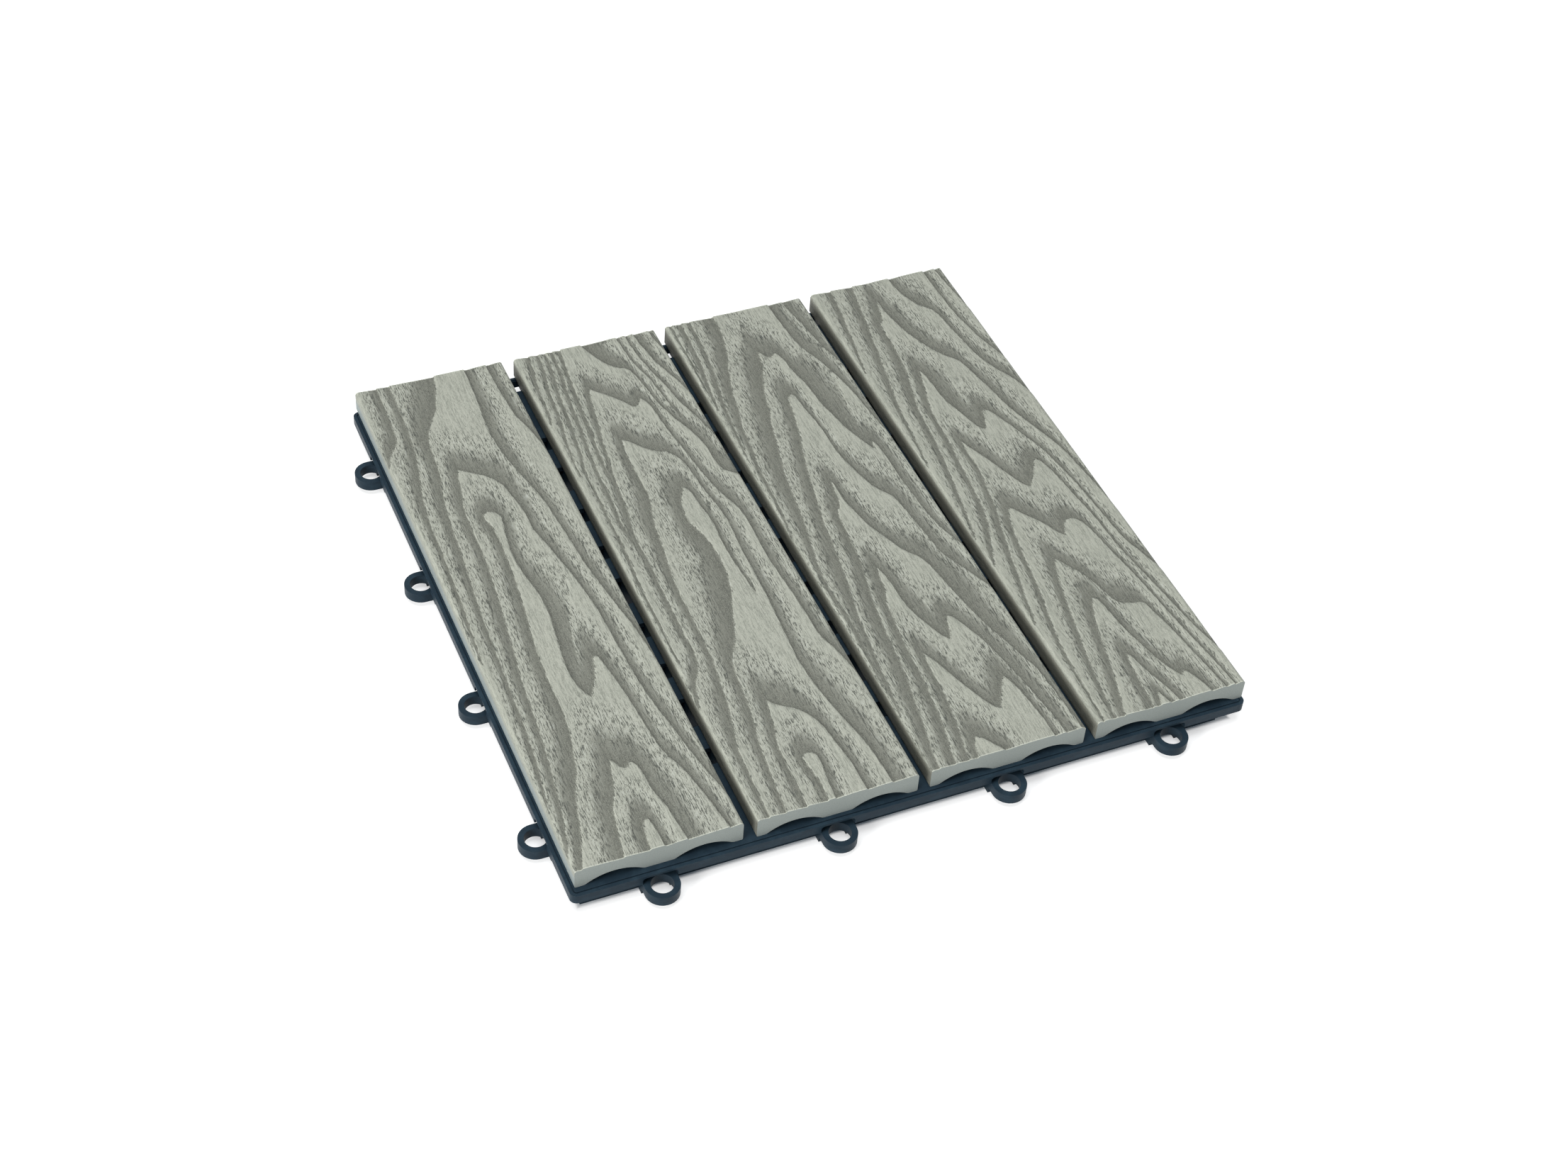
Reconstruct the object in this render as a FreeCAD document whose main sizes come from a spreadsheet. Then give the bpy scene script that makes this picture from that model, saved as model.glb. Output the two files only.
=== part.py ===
import FreeCAD, Part
import math
import os
import Sketcher

# Interlocking deck tile: four hollow-backed slats screwed from below to one moulded grid.
# +Z is up, the ground is z = 0, the front and left sides carry the rings, and the
# origin is the middle of the whole outline, rings and pegs included, on the ground.

SHEET_NAME = "Sizes"
SLATS = 4
BANDS = 2 * SLATS - 1
RIBS = 10

# Every size in millimetres.
SIZES = {
    # Layout of the tile
    "slat_pitch": 75.0,
    "tile_gap": 2.5,
    "slat_shift_x": 1.1,
    "slat_shift_y": 2.4,
    # Grid: plate, rim and skirt
    "grid_height": 12.0,
    "plate_thick": 2.5,
    "rim_band": 12.0,
    "rim_corner_r": 3.0,
    "rim_wall_depth": 4.3,
    "rim_wall_thick": 2.0,
    "groove_setback": 1.4,
    "groove_width": 0.6,
    "groove_depth": 0.5,
    "skirt_thick": 2.0,
    "skirt_inset_rings": 5.0,
    "skirt_inset_pegs": 9.9,
    # Grid: bands, webs, ribs and feet
    "band_width": 14.0,
    "web_thick": 2.0,
    "web_spread": 11.0,
    "rib_thick": 2.0,
    "rib_clear": 4.0,
    "foot_r": 3.5,
    "drain_width": 9.0,
    "drain_long": 16.0,
    "drain_short": 8.5,
    # Rings, their legs and the windows above them
    "ring_hole_r": 4.65,
    "ring_wall": 2.5,
    "ring_offset": 2.05,
    "ring_lift": 2.9,
    "ring_height": 4.6,
    "leg_setback": 1.8,
    "window_height": 3.2,
    "window_side": 0.15,
    "window_corner_r": 1.5,
    # Pegs
    "peg_clearance": 0.3,
    "peg_wall_clearance": 0.3,
    "peg_lift": 3.2,
    "peg_height": 7.4,
    # Screws and their seats
    "boss_r": 5.5,
    "screw_r": 1.75,
    "screw_length": 12.0,
    "screw_tip": 3.0,
    "head_r": 3.6,
    "head_height": 2.2,
    "head_recess": 0.4,
    "head_clearance": 0.3,
    "shank_clearance": 0.25,
    "pilot_extra": 0.5,
    # Slats
    "slat_gap": 5.5,
    "slat_length": 295.0,
    "slat_thick": 10.0,
    "slat_edge_r": 1.5,
    "arch_width": 26.0,
    "arch_height": 3.8,
    "arch_foot_r": 3.0,
    "arch_spread": 37.0,
}


def size(text):
    """A formula whose bare size names are written as names of the sheet."""
    for alias in sorted(SIZES, key=len, reverse=True):
        text = text.replace("<" + alias + ">", SHEET_NAME + "." + alias)
    return text


# Half the side of the grid, seen from its own middle.
HALF = "(2 * <slat_pitch> - <tile_gap> / 2)"
# Plan distance from a grid face to a peg axis, outward.
PEG_OUT = "(<tile_gap> - <ring_offset>)"
RING_R = "(<ring_hole_r> + <ring_wall>)"
# The outline reaches further on the ring sides than on the peg sides.
FRAME_SHIFT = "((<ring_offset> + " + RING_R + " - <tile_gap> + <peg_wall_clearance>) / 2)"
PLATE_BOTTOM = "(<grid_height> - <plate_thick>)"
SKIRT_NEAR = "-(" + HALF + " - <skirt_inset_rings>)"
SKIRT_SIDE = "(2 * " + HALF + " - <skirt_inset_rings> - <skirt_inset_pegs>)"
RIB_NEAR = "(" + SKIRT_NEAR + " + <skirt_thick> / 2)"
RIB_RUN = "(" + SKIRT_SIDE + " - <skirt_thick>)"
# Place of the outermost slat, ring and screw on either side of the middle.
FAR = "-1.5 * <slat_pitch>"
RING_AXIS = "-(" + HALF + " + <ring_offset>)"
RIM_BOTTOM = "(<grid_height> - <rim_wall_depth>)"
HEAD_SEAT = "(<rib_clear> + <head_recess> + <head_height>)"
# A low arch: one large arc that runs into the foot roundings at its two ends.
ARCH_CROWN_R = "((<arch_width>^2 / 4 + <arch_height>^2) / (2 * <arch_height>) - <arch_foot_r>)"
PILOT_DEPTH = "(" + HEAD_SEAT + " + <screw_length> + <pilot_extra> - <grid_height>)"


def make_sheet(doc):
    """Spreadsheet with one named cell a size."""
    sheet = doc.addObject("Spreadsheet::Sheet", SHEET_NAME)
    for row, (alias, value) in enumerate(SIZES.items(), start=1):
        sheet.set("A%d" % row, alias)
        sheet.set("B%d" % row, str(value))
        sheet.setAlias("B%d" % row, alias)
    doc.recompute()
    return sheet


def bind(item, prop, text):
    """Ties a property to a formula of the sheet."""
    item.setExpression(prop, size(text))


def origin_plane(body, role):
    """The body's own origin plane or axis of that role."""
    return next(item for item in body.Origin.OriginFeatures if item.Role == role)


def new_sketch(body, name, level, role="XY_Plane"):
    """Empty sketch on a plane of the body, moved along its normal to a level."""
    sketch = body.newObject("Sketcher::SketchObject", name)
    sketch.AttachmentSupport = [(origin_plane(body, role), "")]
    sketch.MapMode = "FlatFace"
    bind(sketch, "AttachmentOffset.Base.z", level)
    return sketch


def hold(sketch, kind, refs, text):
    """Adds a driving distance or radius that follows a formula."""
    index = sketch.addConstraint(Sketcher.Constraint(kind, *refs, value_of(sketch, text)))
    sketch.renameConstraint(index, "size%d" % index)
    bind(sketch, "Constraints.size%d" % index, text)


def value_of(sketch, text):
    """The number that a formula has now."""
    return float(FreeCAD.Units.Quantity(sketch.evalExpression(size(text))).Value)


def point(sketch, across, along):
    """Sketch point at two formulas, as a start for the solver."""
    return FreeCAD.Vector(value_of(sketch, across), value_of(sketch, along), 0)


def rectangle(sketch, left, front, width, depth):
    """Closed rectangle from its lower left corner and its two sides."""
    first = sketch.GeometryCount
    low = point(sketch, left, front)
    high = low + point(sketch, width, depth)
    corners = [
        low,
        FreeCAD.Vector(high.x, low.y, 0),
        high,
        FreeCAD.Vector(low.x, high.y, 0),
    ]
    for index in range(4):
        sketch.addGeometry(Part.LineSegment(corners[index], corners[(index + 1) % 4]), False)
    for index in range(4):
        joint = (first + index, 2, first + (index + 1) % 4, 1)
        sketch.addConstraint(Sketcher.Constraint("Coincident", *joint))
        level = "Horizontal" if index % 2 == 0 else "Vertical"
        sketch.addConstraint(Sketcher.Constraint(level, first + index))
    hold(sketch, "DistanceX", (-1, 1, first, 1), left)
    hold(sketch, "DistanceY", (-1, 1, first, 1), front)
    hold(sketch, "DistanceX", (first, 1, first, 2), width)
    hold(sketch, "DistanceY", (first + 1, 1, first + 1, 2), depth)


def rounded_square(sketch, half, radius):
    """Square about the sketch origin with four equal round corners."""
    first = sketch.GeometryCount
    reach = value_of(sketch, half)
    turn = value_of(sketch, radius)
    inner = reach - turn
    for index in range(4):
        spin = FreeCAD.Rotation(FreeCAD.Vector(0, 0, 1), 90 * index)
        start = spin.multVec(FreeCAD.Vector(-inner, -reach, 0))
        end = spin.multVec(FreeCAD.Vector(inner, -reach, 0))
        middle = spin.multVec(FreeCAD.Vector(inner, -inner, 0))
        low = math.radians(90 * index - 90)
        circle = Part.Circle(middle, FreeCAD.Vector(0, 0, 1), turn)
        sketch.addGeometry(Part.LineSegment(start, end), False)
        sketch.addGeometry(Part.ArcOfCircle(circle, low, low + math.pi / 2), False)
    for index in range(4):
        side = first + 2 * index
        after = first + (2 * index + 2) % 8
        sketch.addConstraint(Sketcher.Constraint("Tangent", side, 2, side + 1, 1))
        sketch.addConstraint(Sketcher.Constraint("Tangent", side + 1, 2, after, 1))
        level = "Horizontal" if index % 2 == 0 else "Vertical"
        sketch.addConstraint(Sketcher.Constraint(level, side))
        if index:
            sketch.addConstraint(Sketcher.Constraint("Equal", first + 1, side + 1))
    hold(sketch, "Radius", (first + 1,), radius)
    hold(sketch, "DistanceY", (first, 1, -1, 1), half)
    hold(sketch, "DistanceX", (-1, 1, first + 2, 1), half)
    hold(sketch, "DistanceY", (-1, 1, first + 4, 1), half)
    hold(sketch, "DistanceX", (first + 6, 1, -1, 1), half)


def circle_at(sketch, across, along, radius):
    """Full circle at two formulas."""
    index = sketch.GeometryCount
    middle = point(sketch, across, along)
    circle = Part.Circle(middle, FreeCAD.Vector(0, 0, 1), value_of(sketch, radius))
    sketch.addGeometry(circle, False)
    hold(sketch, "DistanceX", (-1, 1, index, 3), across)
    hold(sketch, "DistanceY", (-1, 1, index, 3), along)
    hold(sketch, "Radius", (index,), radius)


def chain(sketch, pieces):
    """Closed outline of lines and arcs; returns the index of the first."""
    first = sketch.GeometryCount
    for piece in pieces:
        sketch.addGeometry(piece, False)
    return first


def arc(middle, radius, start, end):
    """Arc of a circle between two angles in degrees, anticlockwise."""
    circle = Part.Circle(middle, FreeCAD.Vector(0, 0, 1), radius)
    return Part.ArcOfCircle(circle, math.radians(start), math.radians(end))


def pad(body, sketch, length, label):
    """Adds material above a sketch."""
    feature = body.newObject("PartDesign::Pad", label)
    feature.Profile = sketch
    bind(feature, "Length", length)
    return feature


def pocket(body, sketch, length, label, upward=False):
    """Cuts below a sketch, or above it."""
    feature = body.newObject("PartDesign::Pocket", label)
    feature.Profile = sketch
    feature.Reversed = upward
    bind(feature, "Length", length)
    return feature


def rows(body, originals, label, across, along):
    """Repeats features across and along; each direction is (count, step formula)."""
    pattern = body.newObject("PartDesign::LinearPattern", label)
    pattern.Originals = originals
    pattern.Direction = (origin_plane(body, "X_Axis"), [""])
    pattern.Direction2 = (origin_plane(body, "Y_Axis"), [""])
    pattern.Occurrences = across[0]
    bind(pattern, "Length", "%d * (%s)" % (across[0] - 1, across[1]))
    pattern.Occurrences2 = along[0]
    bind(pattern, "Length2", "%d * (%s)" % (along[0] - 1, along[1]))
    body.Tip = pattern
    return pattern


def quarter_turn(body, originals, label):
    """Repeats features of the left side on the front, and of the right on the back."""
    pattern = body.newObject("PartDesign::PolarPattern", label)
    pattern.Originals = originals
    pattern.Axis = (origin_plane(body, "Z_Axis"), [""])
    pattern.Angle = 90
    pattern.Occurrences = 2
    body.Tip = pattern
    return pattern


def station(index):
    """Formula of the place of a ring, peg or slat, 0 to 3, about the middle."""
    return "(%.1f * <slat_pitch>)" % (index - (SLATS - 1) / 2)


def new_body(doc, name):
    """Empty body for one group of features."""
    return doc.addObject("PartDesign::Body", name)


def rim_body(doc):
    """Edge plate, the wall that hangs from it and the skirt that stands on the ground."""
    body = new_body(doc, "Rim")
    plate = new_sketch(body, "RimPlateOutline", PLATE_BOTTOM)
    rounded_square(plate, HALF, "<rim_corner_r>")
    inner = HALF + " - <rim_band>"
    rectangle(plate, "-(" + inner + ")", "-(" + inner + ")", "2 * (" + inner + ")", "2 * (" + inner + ")")
    pad(body, plate, "<plate_thick>", "RimPlate")
    wall = new_sketch(body, "RimWallOutline", RIM_BOTTOM)
    rounded_square(wall, HALF, "<rim_corner_r>")
    rounded_square(wall, HALF + " - <rim_wall_thick>", "<rim_corner_r> - <rim_wall_thick>")
    pad(body, wall, "<rim_wall_depth>", "RimWall")
    skirt = new_sketch(body, "SkirtOutline", "0")
    rectangle(skirt, SKIRT_NEAR, SKIRT_NEAR, SKIRT_SIDE, SKIRT_SIDE)
    inside = SKIRT_SIDE + " - 2 * <skirt_thick>"
    corner = SKIRT_NEAR + " + <skirt_thick>"
    rectangle(skirt, corner, corner, inside, inside)
    pad(body, skirt, "<grid_height>", "Skirt")
    return body


def band_body(doc):
    """Flat bands under the slat gaps and under the middle foot of each slat."""
    body = new_body(doc, "BandStrips")
    reach = HALF + " - <rim_band> / 2"
    band = new_sketch(body, "BandOutline", PLATE_BOTTOM)
    left = FAR + " - <band_width> / 2"
    rectangle(band, left, "-(" + reach + ")", "<band_width>", "2 * (" + reach + ")")
    first = pad(body, band, "<plate_thick>", "Band")
    rows(body, [first], "Bands", (BANDS, "<slat_pitch> / 2"), (1, "<slat_pitch>"))
    return body


def web_body(doc):
    """Two upright webs below each band."""
    body = new_body(doc, "WebStrips")
    webs = new_sketch(body, "WebOutline", "<rib_clear>")
    for side in ("-", "+"):
        left = FAR + " " + side + " <web_spread> / 2 - <web_thick> / 2"
        rectangle(webs, left, RIB_NEAR, "<web_thick>", RIB_RUN)
    first = pad(body, webs, PLATE_BOTTOM + " - <rib_clear>", "WebPair")
    rows(body, [first], "Webs", (BANDS, "<slat_pitch> / 2"), (1, "<slat_pitch>"))
    return body


def rib_body(doc):
    """Cross ribs, flush with the top of the bands."""
    body = new_body(doc, "RibStrips")
    rib = new_sketch(body, "RibOutline", "<rib_clear>")
    rectangle(rib, RIB_NEAR, FAR + " - <rib_thick> / 2", RIB_RUN, "<rib_thick>")
    first = pad(body, rib, "<grid_height> - <rib_clear>", "Rib")
    rows(body, [first], "Ribs", (1, "<slat_pitch>"), (RIBS, "<slat_pitch> / 3"))
    return body


def foot_body(doc):
    """Round feet under the crossings that carry no screw, and bosses at those that do."""
    body = new_body(doc, "Feet")
    foot = new_sketch(body, "FootOutline", "0")
    circle_at(foot, "-<slat_pitch>", FAR, "<foot_r>")
    first = pad(body, foot, PLATE_BOTTOM, "GapFoot")
    rows(body, [first], "GapFeet", (SLATS - 1, "<slat_pitch>"), (RIBS, "<slat_pitch> / 3"))
    seat = new_sketch(body, "SeatFootOutline", "0")
    for step in ("7 / 6", "5 / 6"):
        circle_at(seat, FAR, "-" + step + " * <slat_pitch>", "<foot_r>")
    first = pad(body, seat, PLATE_BOTTOM, "SeatFoot")
    rows(body, [first], "SeatFeet", (SLATS, "<slat_pitch>"), (SLATS - 1, "<slat_pitch>"))
    boss = new_sketch(body, "BossOutline", "<rib_clear>")
    circle_at(boss, FAR + " + <slat_shift_x>", FAR, "<boss_r>")
    first = pad(body, boss, "<grid_height> - <rib_clear>", "Boss")
    rows(body, [first], "Bosses", (SLATS, "<slat_pitch>"), (SLATS, "<slat_pitch>"))
    return body


def drain_tools(doc):
    """Solids of the openings along the bands that show in the slat gaps."""
    body = new_body(doc, "DrainTools")
    left = "-<slat_pitch> - <drain_width> / 2"
    drains = new_sketch(body, "DrainOutline", PLATE_BOTTOM)
    rectangle(drains, left, "-<slat_pitch> - <drain_long> / 2", "<drain_width>", "<drain_long>")
    for step in ("4 / 3", "2 / 3"):
        front = "-" + step + " * <slat_pitch> - <drain_short> / 2"
        rectangle(drains, left, front, "<drain_width>", "<drain_short>")
    first = pad(body, drains, "<plate_thick>", "Drain")
    rows(body, [first], "Drains", (SLATS - 1, "<slat_pitch>"), (SLATS - 1, "<slat_pitch>"))
    edge = new_sketch(body, "EdgeDrainOutline", PLATE_BOTTOM)
    length = "<skirt_inset_pegs> - <rim_wall_thick>"
    rectangle(edge, left, HALF + " - <skirt_inset_pegs>", "<drain_width>", length)
    first = pad(body, edge, "<plate_thick>", "EdgeDrain")
    rows(body, [first], "EdgeDrains", (SLATS - 1, "<slat_pitch>"), (1, "<slat_pitch>"))
    return body


def groove_tool(doc):
    """Solid of the groove that runs round the rim."""
    body = new_body(doc, "GrooveTool")
    groove = new_sketch(body, "GrooveOutline", "<grid_height> - <groove_depth>")
    outer = " - <groove_setback>"
    inner = " - <groove_setback> - <groove_width>"
    rounded_square(groove, HALF + outer, "<rim_corner_r>" + outer)
    rounded_square(groove, HALF + inner, "<rim_corner_r>" + inner)
    pad(body, groove, "<groove_depth>", "Groove")
    return body


def seat_tools(doc):
    """Solids of the counterbored screw holes."""
    body = new_body(doc, "SeatTools")
    across = FAR + " + <slat_shift_x>"
    bore = new_sketch(body, "HeadSeatOutline", "<rib_clear>")
    circle_at(bore, across, FAR, "<head_r> + <head_clearance>")
    first = pad(body, bore, "<head_recess> + <head_height>", "HeadSeat")
    rows(body, [first], "HeadSeats", (SLATS, "<slat_pitch>"), (SLATS, "<slat_pitch>"))
    hole = new_sketch(body, "ScrewHoleOutline", "<rib_clear>")
    circle_at(hole, across, FAR, "<screw_r> + <shank_clearance>")
    first = pad(body, hole, "<grid_height> - <rib_clear>", "ScrewHole")
    rows(body, [first], "ScrewHoles", (SLATS, "<slat_pitch>"), (SLATS, "<slat_pitch>"))
    return body


def tongue(sketch, root, axis, along, radius):
    """Outline of a ring: straight arms from a root line and a half circle about its axis."""
    middle = point(sketch, axis, along)
    start = value_of(sketch, root)
    turn = value_of(sketch, radius)
    up = FreeCAD.Vector(0, turn, 0)
    back = FreeCAD.Vector(start - middle.x, 0, 0)
    first = chain(sketch, [
        Part.LineSegment(middle + back + up, middle + up),
        arc(middle, turn, 90, 270),
        Part.LineSegment(middle - up, middle + back - up),
        Part.LineSegment(middle + back - up, middle + back + up),
    ])
    sketch.addConstraint([
        Sketcher.Constraint("Tangent", first, 2, first + 1, 1),
        Sketcher.Constraint("Tangent", first + 1, 2, first + 2, 1),
        Sketcher.Constraint("Coincident", first + 2, 2, first + 3, 1),
        Sketcher.Constraint("Coincident", first + 3, 2, first, 1),
        Sketcher.Constraint("Horizontal", first),
        Sketcher.Constraint("Vertical", first + 3),
    ])
    hold(sketch, "DistanceX", (-1, 1, first + 1, 3), axis)
    hold(sketch, "DistanceY", (-1, 1, first + 1, 3), along)
    hold(sketch, "Radius", (first + 1,), radius)
    hold(sketch, "DistanceX", (-1, 1, first + 3, 1), root)


def window(sketch, along, bottom, width, height, radius):
    """Upright opening with round upper corners."""
    low = point(sketch, along + " - (" + width + ") / 2", bottom)
    wide = value_of(sketch, width)
    tall = value_of(sketch, height)
    turn = value_of(sketch, radius)
    vec = FreeCAD.Vector
    first = chain(sketch, [
        Part.LineSegment(low, low + vec(wide, 0, 0)),
        Part.LineSegment(low + vec(wide, 0, 0), low + vec(wide, tall - turn, 0)),
        arc(low + vec(wide - turn, tall - turn, 0), turn, 0, 90),
        Part.LineSegment(low + vec(wide - turn, tall, 0), low + vec(turn, tall, 0)),
        arc(low + vec(turn, tall - turn, 0), turn, 90, 180),
        Part.LineSegment(low + vec(0, tall - turn, 0), low),
    ])
    sketch.addConstraint([
        Sketcher.Constraint("Coincident", first, 2, first + 1, 1),
        Sketcher.Constraint("Tangent", first + 1, 2, first + 2, 1),
        Sketcher.Constraint("Tangent", first + 2, 2, first + 3, 1),
        Sketcher.Constraint("Tangent", first + 3, 2, first + 4, 1),
        Sketcher.Constraint("Tangent", first + 4, 2, first + 5, 1),
        Sketcher.Constraint("Coincident", first + 5, 2, first, 1),
        Sketcher.Constraint("Horizontal", first),
        Sketcher.Constraint("Vertical", first + 1),
        Sketcher.Constraint("Horizontal", first + 3),
        Sketcher.Constraint("Vertical", first + 5),
        Sketcher.Constraint("Equal", first + 2, first + 4),
    ])
    hold(sketch, "Radius", (first + 2,), radius)
    hold(sketch, "DistanceX", (-1, 1, first, 1), along + " - (" + width + ") / 2")
    hold(sketch, "DistanceY", (-1, 1, first, 1), bottom)
    hold(sketch, "DistanceX", (first, 1, first, 2), width)
    hold(sketch, "DistanceY", (first, 1, first + 3, 1), height)


def ring_body(doc):
    """Rings on two legs, four on the left and four on the front."""
    body = new_body(doc, "Rings")
    rings = new_sketch(body, "RingOutline", "<ring_lift>")
    legs = new_sketch(body, "LegOutline", "0")
    for index in range(SLATS):
        place = station(index)
        tongue(rings, SKIRT_NEAR + " + <skirt_thick> / 2", RING_AXIS, place, RING_R)
        front = "-(" + HALF + " - <leg_setback>)"
        depth = "<skirt_inset_rings> - <leg_setback> + <skirt_thick> / 2"
        rectangle(legs, front, place + " - " + RING_R, depth, "<ring_wall>")
        rectangle(legs, front, place + " + <ring_hole_r>", depth, "<ring_wall>")
    solid = pad(body, rings, "<ring_height>", "RingSolids")
    stand = pad(body, legs, "<ring_lift>", "RingLegs")
    quarter_turn(body, [solid, stand], "FrontRings")
    return body


def ring_tools(doc):
    """Solids of the ring holes and of the windows in the rim above them."""
    body = new_body(doc, "RingTools")
    holes = new_sketch(body, "RingHoleOutline", "<ring_lift>")
    windows = new_sketch(body, "WindowOutline", "-" + HALF, "YZ_Plane")
    for index in range(SLATS):
        place = station(index)
        circle_at(holes, RING_AXIS, place, "<ring_hole_r>")
        width = "2 * (" + RING_R + " + <window_side>)"
        window(windows, place, RIM_BOTTOM, width, "<window_height>", "<window_corner_r>")
    bore = pad(body, holes, "<ring_height>", "RingHoles")
    opening = pad(body, windows, "<skirt_inset_rings>", "RimWindows")
    quarter_turn(body, [bore, opening], "FrontRingTools")
    return body


def peg_outline(sketch, axis, along, radius, flat):
    """Circle cut off by a straight side a set distance outward of its axis."""
    middle = point(sketch, axis, along)
    turn = value_of(sketch, radius)
    reach = value_of(sketch, flat)
    start = math.degrees(math.acos(reach / turn))
    rise = FreeCAD.Vector(0, math.sqrt(turn * turn - reach * reach), 0)
    edge = middle + FreeCAD.Vector(reach, 0, 0)
    first = chain(sketch, [
        arc(middle, turn, start, 360 - start),
        Part.LineSegment(edge - rise, edge + rise),
    ])
    sketch.addConstraint([
        Sketcher.Constraint("Coincident", first, 2, first + 1, 1),
        Sketcher.Constraint("Coincident", first + 1, 2, first, 1),
        Sketcher.Constraint("Vertical", first + 1),
    ])
    hold(sketch, "DistanceX", (-1, 1, first, 3), axis)
    hold(sketch, "DistanceY", (-1, 1, first, 3), along)
    hold(sketch, "Radius", (first,), radius)
    hold(sketch, "DistanceX", (first, 3, first + 1, 1), flat)


def peg_body(doc):
    """Flat-sided pegs that hang from the rim, four on the right and four on the back."""
    body = new_body(doc, "Pegs")
    pegs = new_sketch(body, "PegOutline", "<peg_lift>")
    radius = "<ring_hole_r> - <peg_clearance>"
    flat = "<ring_offset> - <peg_wall_clearance>"
    for index in range(SLATS):
        peg_outline(pegs, HALF + " + " + PEG_OUT, station(index), radius, flat)
    solid = pad(body, pegs, "<peg_height>", "PegSolids")
    quarter_turn(body, [solid], "BackPegs")
    return body


def make_grid(doc):
    """The moulded grid, one piece."""
    solid = doc.addObject("Part::MultiFuse", "GridSolid")
    makers = (rim_body, band_body, web_body, rib_body, foot_body, ring_body, peg_body)
    solid.Shapes = [maker(doc) for maker in makers]
    tools = doc.addObject("Part::Compound", "GridTools")
    tools.Links = [maker(doc) for maker in (drain_tools, groove_tool, seat_tools, ring_tools)]
    grid = doc.addObject("Part::Cut", "BaseGrid")
    grid.Base = solid
    grid.Tool = tools
    grid.Refine = True
    grid.Label = "base_grid"
    bind(grid, "Placement.Base.x", FRAME_SHIFT)
    bind(grid, "Placement.Base.y", FRAME_SHIFT)
    return grid


def slat_outline(sketch):
    """Slat end: flat feet, two low arches below, round upper edges."""
    vec = FreeCAD.Vector
    half = value_of(sketch, "(<slat_pitch> - <slat_gap>) / 2")
    tall = value_of(sketch, "<slat_thick>")
    edge = value_of(sketch, "<slat_edge_r>")
    width = value_of(sketch, "<arch_width>")
    rise = value_of(sketch, "<arch_height>")
    foot = value_of(sketch, "<arch_foot_r>")
    spread = value_of(sketch, "<arch_spread>")
    big = value_of(sketch, ARCH_CROWN_R)
    lean = math.degrees(math.asin(width / 2 / (big + foot)))
    inner = (spread - width) / 2
    outer = (spread + width) / 2

    def line(ax, az, bx, bz):
        return Part.LineSegment(vec(ax, az, 0), vec(bx, bz, 0))

    def arch(middle):
        left = arc(vec(middle - width / 2, foot, 0), foot, 270, 270 + lean)
        crown = arc(vec(middle, rise - big, 0), big, 90 - lean, 90 + lean)
        right = arc(vec(middle + width / 2, foot, 0), foot, 270 - lean, 270)
        return [left, crown, right]

    first = chain(sketch, [
        line(-half, 0, -outer, 0),
        *arch(-spread / 2),
        line(-inner, 0, inner, 0),
        *arch(spread / 2),
        line(outer, 0, half, 0),
        line(half, 0, half, tall - edge),
        arc(vec(half - edge, tall - edge, 0), edge, 0, 90),
        line(half - edge, tall, edge - half, tall),
        arc(vec(edge - half, tall - edge, 0), edge, 90, 180),
        line(-half, tall - edge, -half, 0),
    ])
    feet = (first, first + 4, first + 8)
    for start, after in ((feet[0], feet[1]), (feet[1], feet[2])):
        sketch.addConstraint([
            Sketcher.Constraint("Tangent", start, 2, start + 1, 1),
            Sketcher.Constraint("Tangent", start + 1, 2, start + 2, 2),
            Sketcher.Constraint("Tangent", start + 2, 1, start + 3, 1),
            Sketcher.Constraint("Tangent", start + 3, 2, after, 1),
            Sketcher.Constraint("Equal", start + 1, start + 3),
        ])
        hold(sketch, "Radius", (start + 1,), "<arch_foot_r>")
        hold(sketch, "Radius", (start + 2,), ARCH_CROWN_R)
    side = first + 9
    sketch.addConstraint([
        Sketcher.Constraint("Horizontal", feet[0]),
        Sketcher.Constraint("Horizontal", feet[1]),
        Sketcher.Constraint("Horizontal", feet[2]),
        Sketcher.Constraint("PointOnObject", feet[0], 1, -1),
        Sketcher.Constraint("PointOnObject", feet[1], 1, -1),
        Sketcher.Constraint("PointOnObject", feet[2], 1, -1),
        Sketcher.Constraint("Coincident", feet[2], 2, side, 1),
        Sketcher.Constraint("Vertical", side),
        Sketcher.Constraint("Tangent", side, 2, side + 1, 1),
        Sketcher.Constraint("Tangent", side + 1, 2, side + 2, 1),
        Sketcher.Constraint("Tangent", side + 2, 2, side + 3, 1),
        Sketcher.Constraint("Tangent", side + 3, 2, side + 4, 1),
        Sketcher.Constraint("Vertical", side + 4),
        Sketcher.Constraint("Coincident", side + 4, 2, feet[0], 1),
        Sketcher.Constraint("Equal", side + 1, side + 3),
    ])
    return first


def slat_sizes(sketch, first):
    """Driving sizes of the slat outline."""
    hold(sketch, "Radius", (first + 10,), "<slat_edge_r>")
    hold(sketch, "DistanceX", (-1, 1, first + 9, 1), "(<slat_pitch> - <slat_gap>) / 2")
    hold(sketch, "DistanceX", (first, 1, -1, 1), "(<slat_pitch> - <slat_gap>) / 2")
    hold(sketch, "DistanceY", (first + 9, 1, first + 11, 1), "<slat_thick>")
    hold(sketch, "DistanceX", (-1, 1, first + 4, 2), "(<arch_spread> - <arch_width>) / 2")
    hold(sketch, "DistanceX", (first + 4, 1, -1, 1), "(<arch_spread> - <arch_width>) / 2")


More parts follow.
